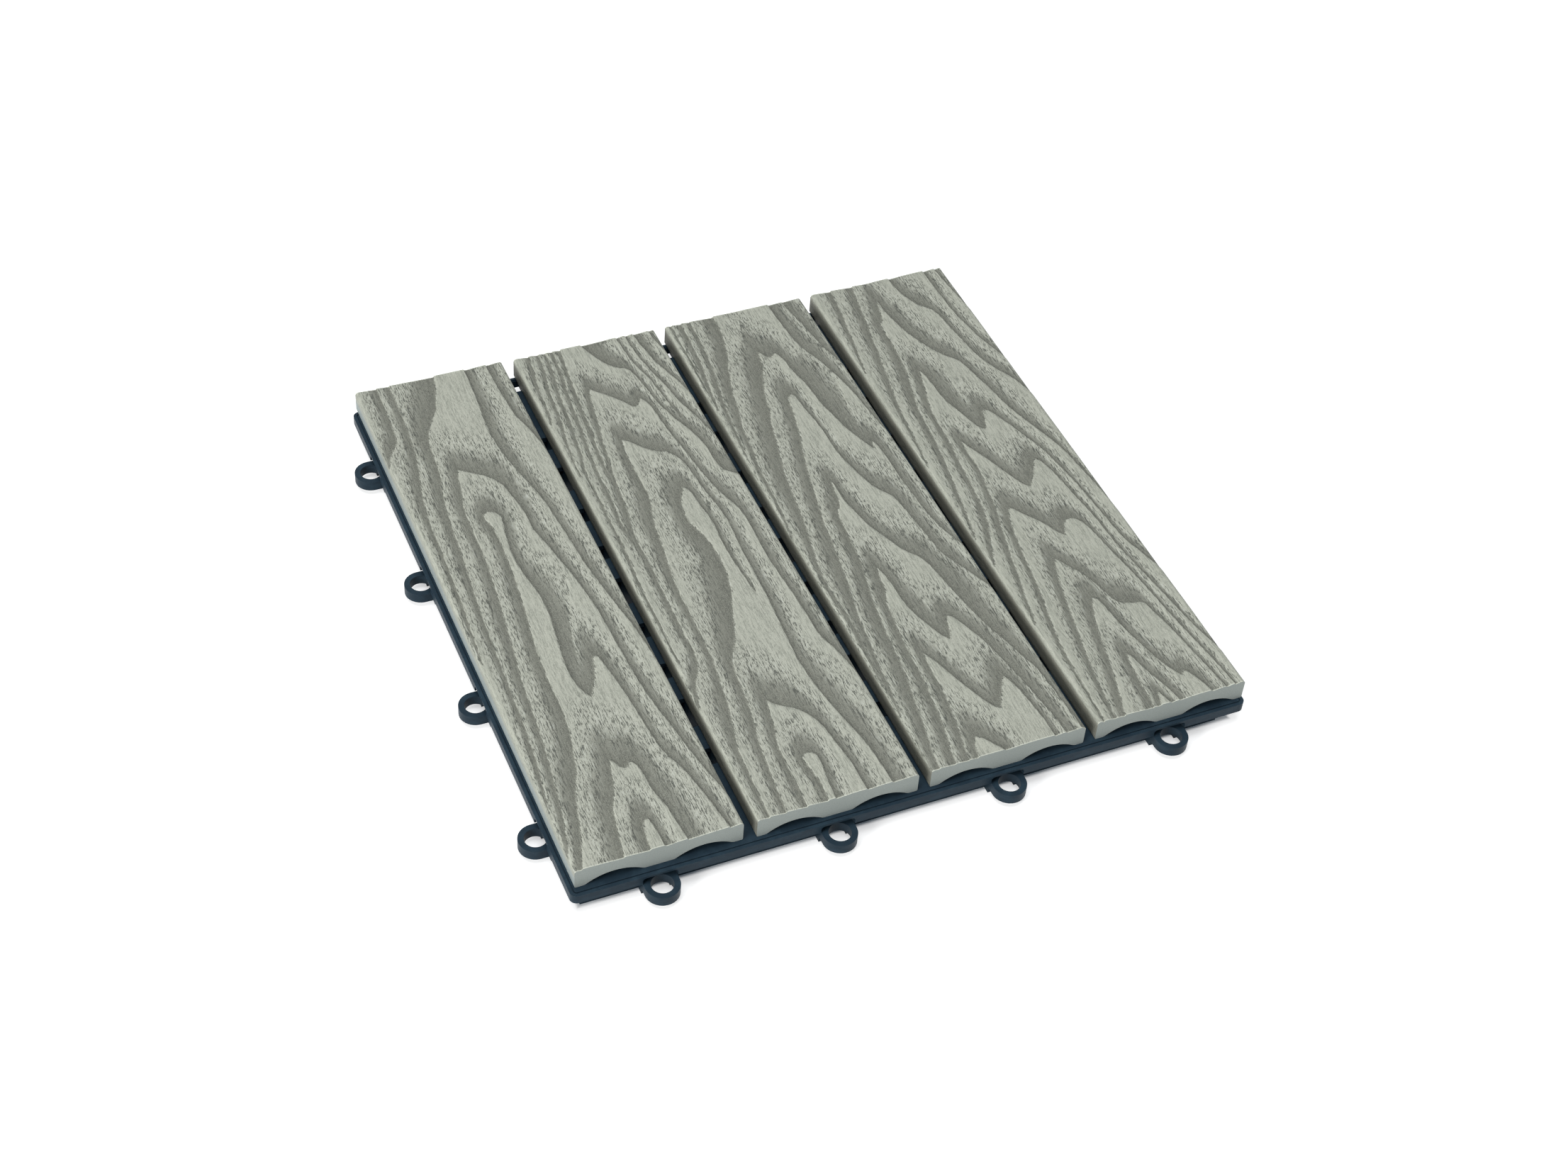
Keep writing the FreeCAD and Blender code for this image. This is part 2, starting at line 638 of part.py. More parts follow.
def make_slat(doc, index):
    """One slat with its four pilot holes, 0 to 3 from the left."""
    body = doc.addObject("PartDesign::Body", "Slat%d" % (index + 1))
    body.Label = "deck_slat_%d" % (index + 1)
    end = new_sketch(body, "SlatEnd", "0", "XZ_Plane")
    first = slat_outline(end)
    slat_sizes(end, first)
    length = pad(body, end, "<slat_length>", "SlatLength")
    length.Midplane = True
    holes = new_sketch(body, "PilotOutline", "0")
    for place in range(SLATS):
        circle_at(holes, "0", station(place) + " - <slat_shift_y>", "<screw_r>")
    pocket(body, holes, PILOT_DEPTH, "PilotHoles", upward=True)
    bind(body, "Placement.Base.x", FRAME_SHIFT + " + <slat_shift_x> + " + station(index))
    bind(body, "Placement.Base.y", FRAME_SHIFT + " + <slat_shift_y>")
    bind(body, "Placement.Base.z", "<grid_height>")
    return body


def turned(doc, kind, name, sizes, place):
    """Cylinder or cone standing on a place, both given by formulas."""
    item = doc.addObject("Part::" + kind, name)
    for prop, text in sizes.items():
        bind(item, prop, text)
    for axis, text in zip("xyz", place):
        bind(item, "Placement.Base." + axis, text)
    return item


def make_screws(doc):
    """Pan-head screws, four under each slat, as separate solids in one group."""
    screws = []
    for index in range(SLATS * SLATS):
        across = FRAME_SHIFT + " + <slat_shift_x> + " + station(index // SLATS)
        along = FRAME_SHIFT + " + " + station(index % SLATS)
        straight = "(<screw_length> - <screw_tip>)"
        head = turned(
            doc, "Cylinder", "Head%d" % index,
            {"Radius": "<head_r>", "Height": "<head_height>"},
            (across, along, "<rib_clear> + <head_recess>"),
        )
        shank = turned(
            doc, "Cylinder", "Shank%d" % index,
            {"Radius": "<screw_r>", "Height": straight},
            (across, along, HEAD_SEAT),
        )
        tip = turned(
            doc, "Cone", "Tip%d" % index,
            {"Radius1": "<screw_r>", "Radius2": "<screw_r> / 8", "Height": "<screw_tip>"},
            (across, along, HEAD_SEAT + " + " + straight),
        )
        screw = doc.addObject("Part::MultiFuse", "Screw%d" % index)
        screw.Shapes = [head, shank, tip]
        screws.append(screw)
    group = doc.addObject("Part::Compound", "Screws")
    group.Links = screws
    group.Label = "screws"
    return group


def check(doc, parts):
    """Stops on any failed object or bad shape."""
    for item in doc.Objects:
        if "Invalid" in item.State or "Error" in item.State:
            raise RuntimeError("failed object: " + item.Name)
    for item in parts:
        if item.Shape.isNull() or not item.Shape.isValid():
            raise RuntimeError("bad shape: " + item.Label)


def main():
    """Builds every piece and writes one file each."""
    doc = FreeCAD.newDocument("DeckTile")
    make_sheet(doc)
    parts = [make_grid(doc)]
    parts += [make_slat(doc, index) for index in range(SLATS)]
    parts.append(make_screws(doc))
    doc.recompute()
    check(doc, parts)
    os.makedirs("parts", exist_ok=True)
    for item in parts:
        item.Shape.exportStep("parts/" + item.Label + ".step")
        print(item.Label, len(item.Shape.Solids), "solids", round(item.Shape.Volume), "mm3")


main()
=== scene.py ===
"""Deck tile for a studio picture: four grained slats on a moulded grid, screwed from below."""

import logging
import math
from dataclasses import dataclass, field
from enum import Enum

import bmesh
import bpy
import numpy as np
from mathutils import Euler, Matrix, Vector

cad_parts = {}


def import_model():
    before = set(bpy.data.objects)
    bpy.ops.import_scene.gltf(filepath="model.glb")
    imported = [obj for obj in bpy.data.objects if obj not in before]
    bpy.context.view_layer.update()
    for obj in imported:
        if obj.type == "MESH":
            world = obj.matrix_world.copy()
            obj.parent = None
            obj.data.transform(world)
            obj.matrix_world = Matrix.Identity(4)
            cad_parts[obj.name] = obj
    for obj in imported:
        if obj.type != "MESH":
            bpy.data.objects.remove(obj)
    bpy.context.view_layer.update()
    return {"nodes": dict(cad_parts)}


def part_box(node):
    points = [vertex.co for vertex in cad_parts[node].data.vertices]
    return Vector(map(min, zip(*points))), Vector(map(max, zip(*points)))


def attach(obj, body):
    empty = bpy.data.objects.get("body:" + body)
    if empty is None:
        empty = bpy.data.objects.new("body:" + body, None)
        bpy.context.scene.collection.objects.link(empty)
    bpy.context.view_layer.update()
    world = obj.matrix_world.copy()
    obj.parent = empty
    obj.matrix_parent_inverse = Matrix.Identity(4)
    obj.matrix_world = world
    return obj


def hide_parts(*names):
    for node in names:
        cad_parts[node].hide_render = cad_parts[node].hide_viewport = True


LOG = logging.getLogger("deck_tile")

MM = 0.001
BODY = "root"
Pair = tuple[float, float]
Triple = tuple[float, float, float]
Colour = Triple

# Growth-ring edges of the pressed grain, in mm from the middle of the slat field.
# Each edge is a run of (across, along, fade width); the dark side lies left of travel.
RINGS_1 = (
    (
        (-146.5, 96, 1.5), (-145.3, 100, 3), (-142.3, 105, 4.5), (-139, 110, 5.5), (-138.4, 120, 5.5),
        (-137.6, 135, 5), (-137.7, 148, 5),
    ),
    (
        (-146, -32, 0.6), (-145, -20, 1.6), (-144.2, -8, 2), (-143.4, 2, 2.2), (-142.8, 15, 2.4),
        (-142, 30, 2.6), (-141.5, 50, 3), (-140.8, 60, 4), (-139.4, 70, 5), (-137.6, 80, 5.5),
        (-135.4, 90, 5.5), (-133.8, 100, 5), (-132.8, 112, 4.5), (-131.9, 130, 4), (-131.8, 148, 4),
    ),
    (
        (-146.2, -114, 0.8), (-144.6, -103, 2), (-143, -93, 2.6), (-142, -80, 2.8), (-141, -70, 3),
        (-140.4, -55, 3), (-139.5, -40, 3), (-138.8, -25, 3.2), (-138, -10, 3.5), (-136.8, 5, 4),
        (-135.4, 20, 4.5), (-134.3, 32, 5), (-133, 50, 5.5), (-132.1, 60, 6), (-130.5, 70, 6),
        (-129.5, 75, 6), (-128.2, 80, 6), (-127.1, 90, 7), (-126.5, 100, 8), (-125.9, 105, 8),
        (-124.5, 110, 9), (-122.3, 115, 10), (-119.5, 120, 11), (-116.4, 125, 12), (-115, 130, 13),
        (-112.5, 138, 15), (-110.4, 148, 17),
    ),
    (
        (-146.5, -138, 1.2), (-144.5, -130, 2.2), (-142.5, -120, 2.6), (-140.9, -110, 3.2),
        (-139.5, -100, 3.5), (-138, -90, 3.5), (-136.8, -80, 3.5), (-135.6, -66, 4), (-134.5, -50, 4.5),
        (-133.2, -40, 5), (-131.8, -30, 5.5), (-129.8, -12, 6), (-128.2, 0, 6), (-126.2, 20, 5.5),
        (-125.5, 38, 5), (-125.3, 50, 5), (-124.5, 60, 5.5), (-123.2, 65, 5.5), (-122, 70, 5),
        (-121.4, 75, 5), (-120.6, 80, 5), (-119.2, 83.6, 5.5), (-116.5, 81.5, 5.5), (-113, 78.8, 5.5),
        (-110, 76.8, 5.5), (-106.4, 72.7, 6.5), (-103.6, 67.7, 8), (-102.3, 60, 8), (-100.9, 52.7, 6.5),
        (-100.2, 44, 5.5), (-100.2, 36, 5), (-99, 30, 5), (-97.7, 25, 5), (-95.9, 15, 4.5), (-94.8, 10, 4),
        (-93.2, 0, 4), (-91.8, -10, 4), (-90.8, -20, 4), (-90.4, -34, 4.5), (-89.8, -50, 4.5),
        (-89.5, -60, 4.5), (-88.6, -70, 5), (-87.3, -80, 5), (-85.6, -90, 5), (-84.1, -100, 4.5),
        (-82.5, -110, 4), (-80.5, -120, 3.5), (-78.5, -128, 3), (-76, -140, 2),
    ),
    (
        (-144.6, -149, 3), (-141.8, -140, 3.5), (-138.6, -130, 4.5), (-136.4, -120, 6), (-133.6, -110, 7),
        (-131.8, -105, 7), (-129.5, -100, 7.5), (-127.5, -90, 8), (-126.2, -85, 8), (-125.3, -80, 8),
        (-124.3, -70, 8), (-124.1, -60, 7.5), (-124, -50, 6), (-123.6, -40, 6), (-122.7, -30, 6),
        (-121.6, -20, 6), (-120.4, -14, 6), (-119.4, -5, 6), (-118.4, 5, 6), (-117.1, 20, 5),
        (-116.5, 35, 5), (-116.8, 44, 5), (-118.4, 48.5, 4.5), (-118, 52, 4), (-115.5, 53.8, 4.5),
        (-112.6, 52.3, 4.5), (-110.8, 49, 5), (-111.2, 43, 5), (-112.5, 38, 5), (-113.6, 28, 5.5),
        (-113.7, 18, 6), (-112.9, 10, 7), (-111.6, 3, 8), (-110.6, -5, 10), (-110.7, -15, 13),
        (-111.6, -22, 14), (-112.5, -30, 14), (-113.9, -40, 12), (-114.4, -50, 10), (-113.8, -56, 8),
        (-112.2, -61, 7), (-110.5, -64, 7), (-108.4, -60.5, 7), (-105.8, -55.5, 7), (-104, -50, 6),
        (-102.8, -45, 6), (-101.6, -42.8, 6), (-100, -44, 5), (-99, -50, 5), (-97.7, -59, 5),
        (-96.4, -70, 4.5), (-95.7, -80, 4.5), (-95, -90, 4.5), (-93.9, -100, 4.5), (-92.5, -105, 4.5),
        (-90.5, -110, 4.5), (-88.9, -115, 4.5), (-87.5, -122, 4.5), (-85.9, -130, 4), (-84.4, -140, 3.6),
        (-83, -149, 3.4),
    ),
    (
        (-127.6, -149, 8), (-125.9, -140.5, 8), (-125, -134, 8), (-123.6, -126.8, 8), (-122.7, -122.3, 8),
        (-120.9, -118.6, 7.5), (-119.1, -114, 7), (-117.7, -108.6, 7), (-116.4, -103.2, 7),
        (-115.2, -98.6, 7), (-113.8, -100, 7), (-112.6, -103.6, 6.5), (-110.9, -104.6, 6.5),
        (-109, -103.3, 6.5), (-107.5, -102, 6.5), (-105.9, -105, 7), (-105, -110.5, 8.5), (-105, -116.8, 9),
        (-104.1, -122.3, 9), (-102.5, -128.6, 9), (-102, -135, 9), (-101.4, -141, 9), (-100.6, -149, 9),
    ),
    (
        (-116.6, -149, 6), (-115.9, -141.4, 6), (-115, -135.4, 5), (-113.4, -132, 5), (-111.6, -132, 4.5),
        (-110.8, -136, 4), (-110, -149, 4),
    ),
    (
        (-95.6, 149, 6), (-96.4, 130, 6.5), (-97, 120, 7), (-98, 110, 7), (-98.2, 100, 7), (-97.5, 90, 7),
        (-95.9, 80, 6.5), (-93.8, 70, 5.5), (-91.4, 60, 4.5), (-89.7, 50, 4.5), (-88.9, 40, 4.5),
        (-88, 30, 4.5), (-87.3, 20, 5), (-86.6, 10, 5), (-85.3, 0, 5), (-83.8, -10, 4.5), (-82.3, -20, 4),
        (-80.5, -30, 3.5), (-79.2, -42, 2.6), (-77.8, -56, 1.8),
    ),
    (
        (-85.3, 149, 5), (-85, 130, 5), (-84.4, 120, 5), (-83.8, 110, 5), (-82.3, 105, 4.6),
        (-80.9, 100, 4), (-79, 90, 3), (-77.6, 80, 2),
    ),
)
RINGS_2 = (
    (
        (-70.6, 99, 0.6), (-69.4, 105, 1.2), (-68.8, 112, 1.3), (-68.6, 119, 1.5), (-67.8, 125, 2),
        (-67.4, 130, 2.4), (-66.3, 135, 2.6), (-65.6, 140, 2.8), (-64.9, 149, 3),
    ),
    (
        (-69.8, 62, 0.5), (-69.4, 72, 0.9), (-68.5, 80, 1.1), (-68.2, 86, 1.4), (-67.2, 90, 1.7),
        (-66.5, 95, 1.8), (-65.8, 100, 2), (-65.1, 105, 2), (-64.9, 110, 2), (-64.4, 116, 2),
        (-64.1, 120, 2), (-63.3, 125, 2.1), (-62.4, 130, 2.2), (-61.3, 135, 2.3), (-60.9, 140, 2.4),
        (-60.3, 149, 2.4),
    ),
    (
        (-70.4, -60, 0.5), (-70, -45, 1), (-69.6, -20, 1.5), (-69.2, -8, 1.8), (-68.4, 2, 1.6),
        (-67.8, 15, 1.6), (-67.5, 30, 1.6), (-67.3, 42, 1.4), (-67.1, 55, 1.2), (-66.8, 65, 1.6),
        (-65.8, 70, 1.9), (-64.7, 75, 2.1), (-64.2, 80, 2.2), (-63.5, 86, 2.3), (-62.5, 92, 2.4),
        (-61.8, 100, 2.4), (-61.3, 106, 2.3), (-60.9, 112, 2.4), (-60.2, 118, 2.5), (-59.6, 122, 2.7),
        (-58.6, 127, 2.8), (-57.8, 134, 2.5), (-57, 140, 2.3), (-56.9, 149, 2.2),
    ),
    (
        (-62.6, 14, 1), (-62.9, 20, 2), (-63.6, 28, 2.2), (-63.1, 35, 2.4), (-62.6, 40, 2.6),
        (-62, 47, 2.8), (-61.8, 52, 2.8), (-62, 58, 2.4), (-61.5, 65, 2.2), (-61.2, 70, 2.1),
        (-60.8, 75, 2.1), (-60.2, 80, 2.2), (-59.6, 86, 2.3), (-58.6, 92, 2.3), (-58.2, 100, 2.3),
        (-57.7, 105, 2.3), (-57.2, 110, 2.2), (-56.5, 116, 2.2), (-56, 121, 2.1), (-55, 126, 2),
        (-54.5, 132, 2), (-53.9, 139, 2), (-53.6, 149, 1.9),
    ),
    (
        (-57, 50, 1), (-57.9, 58, 2), (-57.6, 64, 2.2), (-57.2, 70, 2.2), (-56.7, 76, 2.2),
        (-56.2, 82, 2.3), (-55.4, 87, 2.3), (-54.9, 93, 2.4), (-54.4, 100, 2.6), (-53.9, 105, 2.7),
        (-53.5, 110, 2.7), (-53.1, 116, 2.6), (-52.5, 121, 2.4), (-52, 127, 2.3), (-51.2, 134, 2.1),
        (-50.4, 141, 2.2), (-49.5, 149, 2.6),
    ),
    (
        (-71.5, -84, 1.5), (-70.2, -79, 2), (-69.3, -74, 2.4), (-67.5, -69.5, 3), (-64.6, -65, 3.6),
        (-63, -60, 3.6), (-62, -52, 3.4), (-62.6, -45, 3.4), (-62.1, -34, 3.4), (-61.8, -20, 3.4),
        (-61.3, -8, 3.4), (-60.8, 2, 3.4), (-61.2, 12, 3.2), (-60.8, 20, 3.2), (-59.4, 28, 4),
        (-58.4, 34, 4.2), (-57.6, 41, 4.2), (-57.2, 47, 3.6), (-56.6, 53, 3.2), (-55.8, 60, 2.4),
        (-54.9, 65, 2), (-54.1, 70, 2), (-53.6, 75, 2.1), (-53, 80, 2.3), (-51.8, 86, 2.8),
        (-50.8, 91, 3.4), (-49.9, 97, 3.6), (-49.2, 103, 3.4), (-48.4, 108, 3), (-47.6, 112, 2.8),
        (-46.7, 115.4, 3.2), (-45.8, 117, 4), (-43.6, 114.5, 4), (-40.9, 111.8, 4), (-37.3, 107.7, 4),
        (-34.1, 103.6, 4), (-32.3, 100.3, 4), (-30.6, 98.9, 4.5), (-29, 99.6, 4.5), (-27.6, 101.5, 4),
        (-26.3, 103.6, 3.5), (-24.9, 101.6, 3), (-23.7, 98, 2.8), (-23.2, 93.6, 2.8), (-22.7, 86.4, 2.8),
        (-22, 77.3, 2.8), (-20.9, 70, 3), (-20, 63.6, 3.2), (-19.1, 54.5, 3.4), (-17.9, 46, 3.6),
        (-16.8, 40, 4), (-15.9, 35, 4.4), (-14.5, 30, 5), (-12.7, 25, 5), (-11.4, 20, 5), (-10.9, 14, 5),
        (-11, 0, 5), (-11.4, -12, 5), (-10.8, -24, 5), (-9.8, -38, 5), (-9.3, -52, 5.5), (-9.3, -60, 6),
        (-8.6, -65, 6), (-6.8, -70, 5.5), (-5.5, -75, 5), (-4.5, -80, 4), (-3.4, -86, 3), (-2, -95, 2),
    ),
    (
        (-67.2, -149, 3), (-66.9, -138, 3), (-66.6, -130, 3), (-66.2, -120, 3.2), (-65.5, -110, 4),
        (-64.4, -105, 5), (-63.2, -100, 6), (-60.9, -90, 6.5), (-59.1, -80, 5), (-58, -70, 4),
        (-56.6, -60, 3.6), (-56.3, -50, 3.6), (-55.9, -40, 3.8), (-55.7, -25, 4.2), (-54.9, -12, 5),
        (-53.2, 0, 6), (-51.8, 10, 6.5), (-50.7, 20, 7.5), (-48.9, 29, 7.5), (-47, 35.5, 7.5),
        (-46.1, 42, 7.5), (-46.1, 50, 6.5), (-46.2, 62, 5), (-45.7, 71, 4.5), (-45, 76, 4.5),
        (-44.1, 79.6, 5), (-41.4, 77.3, 5), (-37.3, 71.8, 5), (-34.1, 68.6, 5), (-30.9, 66.5, 5),
        (-28.2, 65.8, 4.5), (-25.9, 62.7, 3.5), (-24.1, 59.1, 3), (-22.7, 53.6, 3), (-22, 45, 3),
        (-21.6, 38, 3), (-20.7, 31, 3), (-19.6, 24, 3.2), (-19, 15, 3.4), (-19.3, 7, 3.6), (-20, 0, 4),
        (-20.4, -12, 4.6), (-20.7, -30, 5), (-21.2, -40, 5), (-22.1, -54, 5), (-22.6, -62, 5.6),
        (-23.2, -72, 6.5), (-22.9, -80, 8), (-22, -90, 9), (-20.5, -100, 9), (-18.5, -110, 9),
        (-16.4, -120, 9), (-15.2, -128, 8), (-14.5, -138, 8), (-14, -149, 8),
    ),
    (
        (-60.2, -149, 3.6), (-59.2, -137, 3.6), (-58.2, -126, 3.8), (-56.9, -114, 4.4), (-55.6, -106, 5),
        (-54.1, -100, 5), (-52.5, -90, 5), (-51.4, -80, 5), (-50.9, -72, 5.5), (-49.5, -65, 6.5),
        (-47.3, -60, 7.5), (-44.6, -55.5, 9), (-42, -49.5, 10), (-40.4, -44.6, 11), (-38.8, -39, 12),
        (-36.6, -32.4, 13), (-34.4, -27, 14), (-33, -20.6, 15), (-31.8, -14.5, 16), (-31.3, -7, 17),
        (-31.5, 0, 17), (-32, 4.5, 16), (-32.8, 9.1, 14), (-34.2, 13.6, 11), (-35.6, 18.4, 9),
        (-35.6, 23, 8), (-35, 28.2, 8), (-34.1, 32.7, 8), (-31.8, 37.3, 6), (-29.6, 41.4, 5),
        (-27.8, 38.5, 4), (-27.1, 33.6, 3.8), (-26.8, 27.3, 3.6), (-25.9, 20.9, 3.6), (-25.5, 13.6, 3.4),
        (-26.3, 5, 3.2), (-26.5, -3, 3), (-26.1, -12, 2.6), (-25.5, -20, 2), (-25, -28, 1), (-25, -31, 0.3),
    ),
    (
        (-51.2, -149, 4.5), (-50.9, -140.5, 4.5), (-50.7, -132, 4.5), (-50.3, -123, 4.2), (-50, -116, 4),
        (-49.1, -110.5, 4), (-47.4, -105, 4.2), (-46.4, -99.5, 5), (-45.6, -94, 5.5), (-44.2, -89.2, 6.5),
        (-42.7, -91.8, 6.5), (-38.6, -95, 6.5), (-34.5, -97.7, 6.5), (-31.8, -101.4, 5.5),
        (-29.5, -105.9, 4.8), (-28, -111.4, 4.5), (-27.3, -117.7, 4.5), (-26.4, -124, 4.5),
        (-25.5, -130.5, 4.5), (-25.3, -140, 5), (-25, -149, 5),
    ),
    (
        (-42.2, -149, 4.5), (-41.7, -141, 4.5), (-41.7, -136, 4.2), (-42.4, -130.5, 4), (-43.2, -126, 4),
        (-42.9, -122.7, 4), (-40.9, -121, 4.4), (-38.5, -121.4, 4.4), (-36.8, -123, 4), (-36.6, -127.5, 4),
        (-37.5, -134, 4), (-38.3, -140, 4), (-38.8, -149, 4),
    ),
    (
        (-39.8, 149, 11), (-37.3, 141.8, 10), (-35, 136.4, 10), (-32.7, 131.8, 9), (-30, 128.6, 7),
        (-27.7, 126.8, 5.5), (-25.5, 126, 4), (-23.6, 123.4, 2.6), (-22.5, 119, 2.2), (-21.8, 114, 2.1),
        (-21.1, 109.6, 2), (-20.4, 105, 2), (-20, 99.2, 2), (-18.6, 93.8, 2), (-17.3, 89.4, 2.2),
        (-16.3, 85, 2.4), (-14.5, 80.9, 2.8), (-12.7, 75.5, 3.6), (-10.9, 69, 4.5), (-10, 63.6, 5.5),
        (-9.8, 55.5, 6.5), (-9.5, 50, 7), (-8.2, 45.8, 7), (-4.5, 42.3, 6), (-2, 41.3, 5),
    ),
    (
        (-21.9, 149, 1.7), (-21.3, 140, 1.7), (-20.5, 130, 1.7), (-19.7, 125, 1.7), (-18.4, 120, 1.6),
        (-17.1, 115, 1.5), (-16.8, 110, 1.6), (-15.9, 105, 1.6), (-15.5, 100, 1.6), (-14.9, 95, 1.6),
        (-14.1, 90, 1.6), (-13, 85, 1.6), (-12.5, 80, 1.2), (-12.3, 77, 0.4),
    ),
    (
        (-17.6, 149, 1.9), (-17.1, 140, 1.9), (-16.4, 130, 2), (-15.3, 125, 2), (-14.6, 120, 2),
        (-13.5, 115, 2), (-12.3, 110, 2.2), (-11.4, 105, 2.5), (-10.8, 100, 3), (-9.9, 95, 3),
        (-8.3, 90, 2.6), (-6.9, 85, 2.4), (-5.7, 80, 2.2), (-4.3, 74, 2), (-2.5, 67, 1.6),
    ),
    (
        (-13.3, 149, 6), (-12.7, 140, 6), (-11.7, 135, 5), (-11.1, 130, 4.6), (-10.3, 125, 4),
        (-8.5, 120, 3), (-7.2, 115, 2.4), (-5.4, 110, 1.8), (-4.3, 105, 1.6), (-2.6, 98, 1.4),
    ),
    (
        (-5.8, 149, 1.8), (-4.9, 140, 1.6), (-3.4, 132, 1.2),
    ),
)
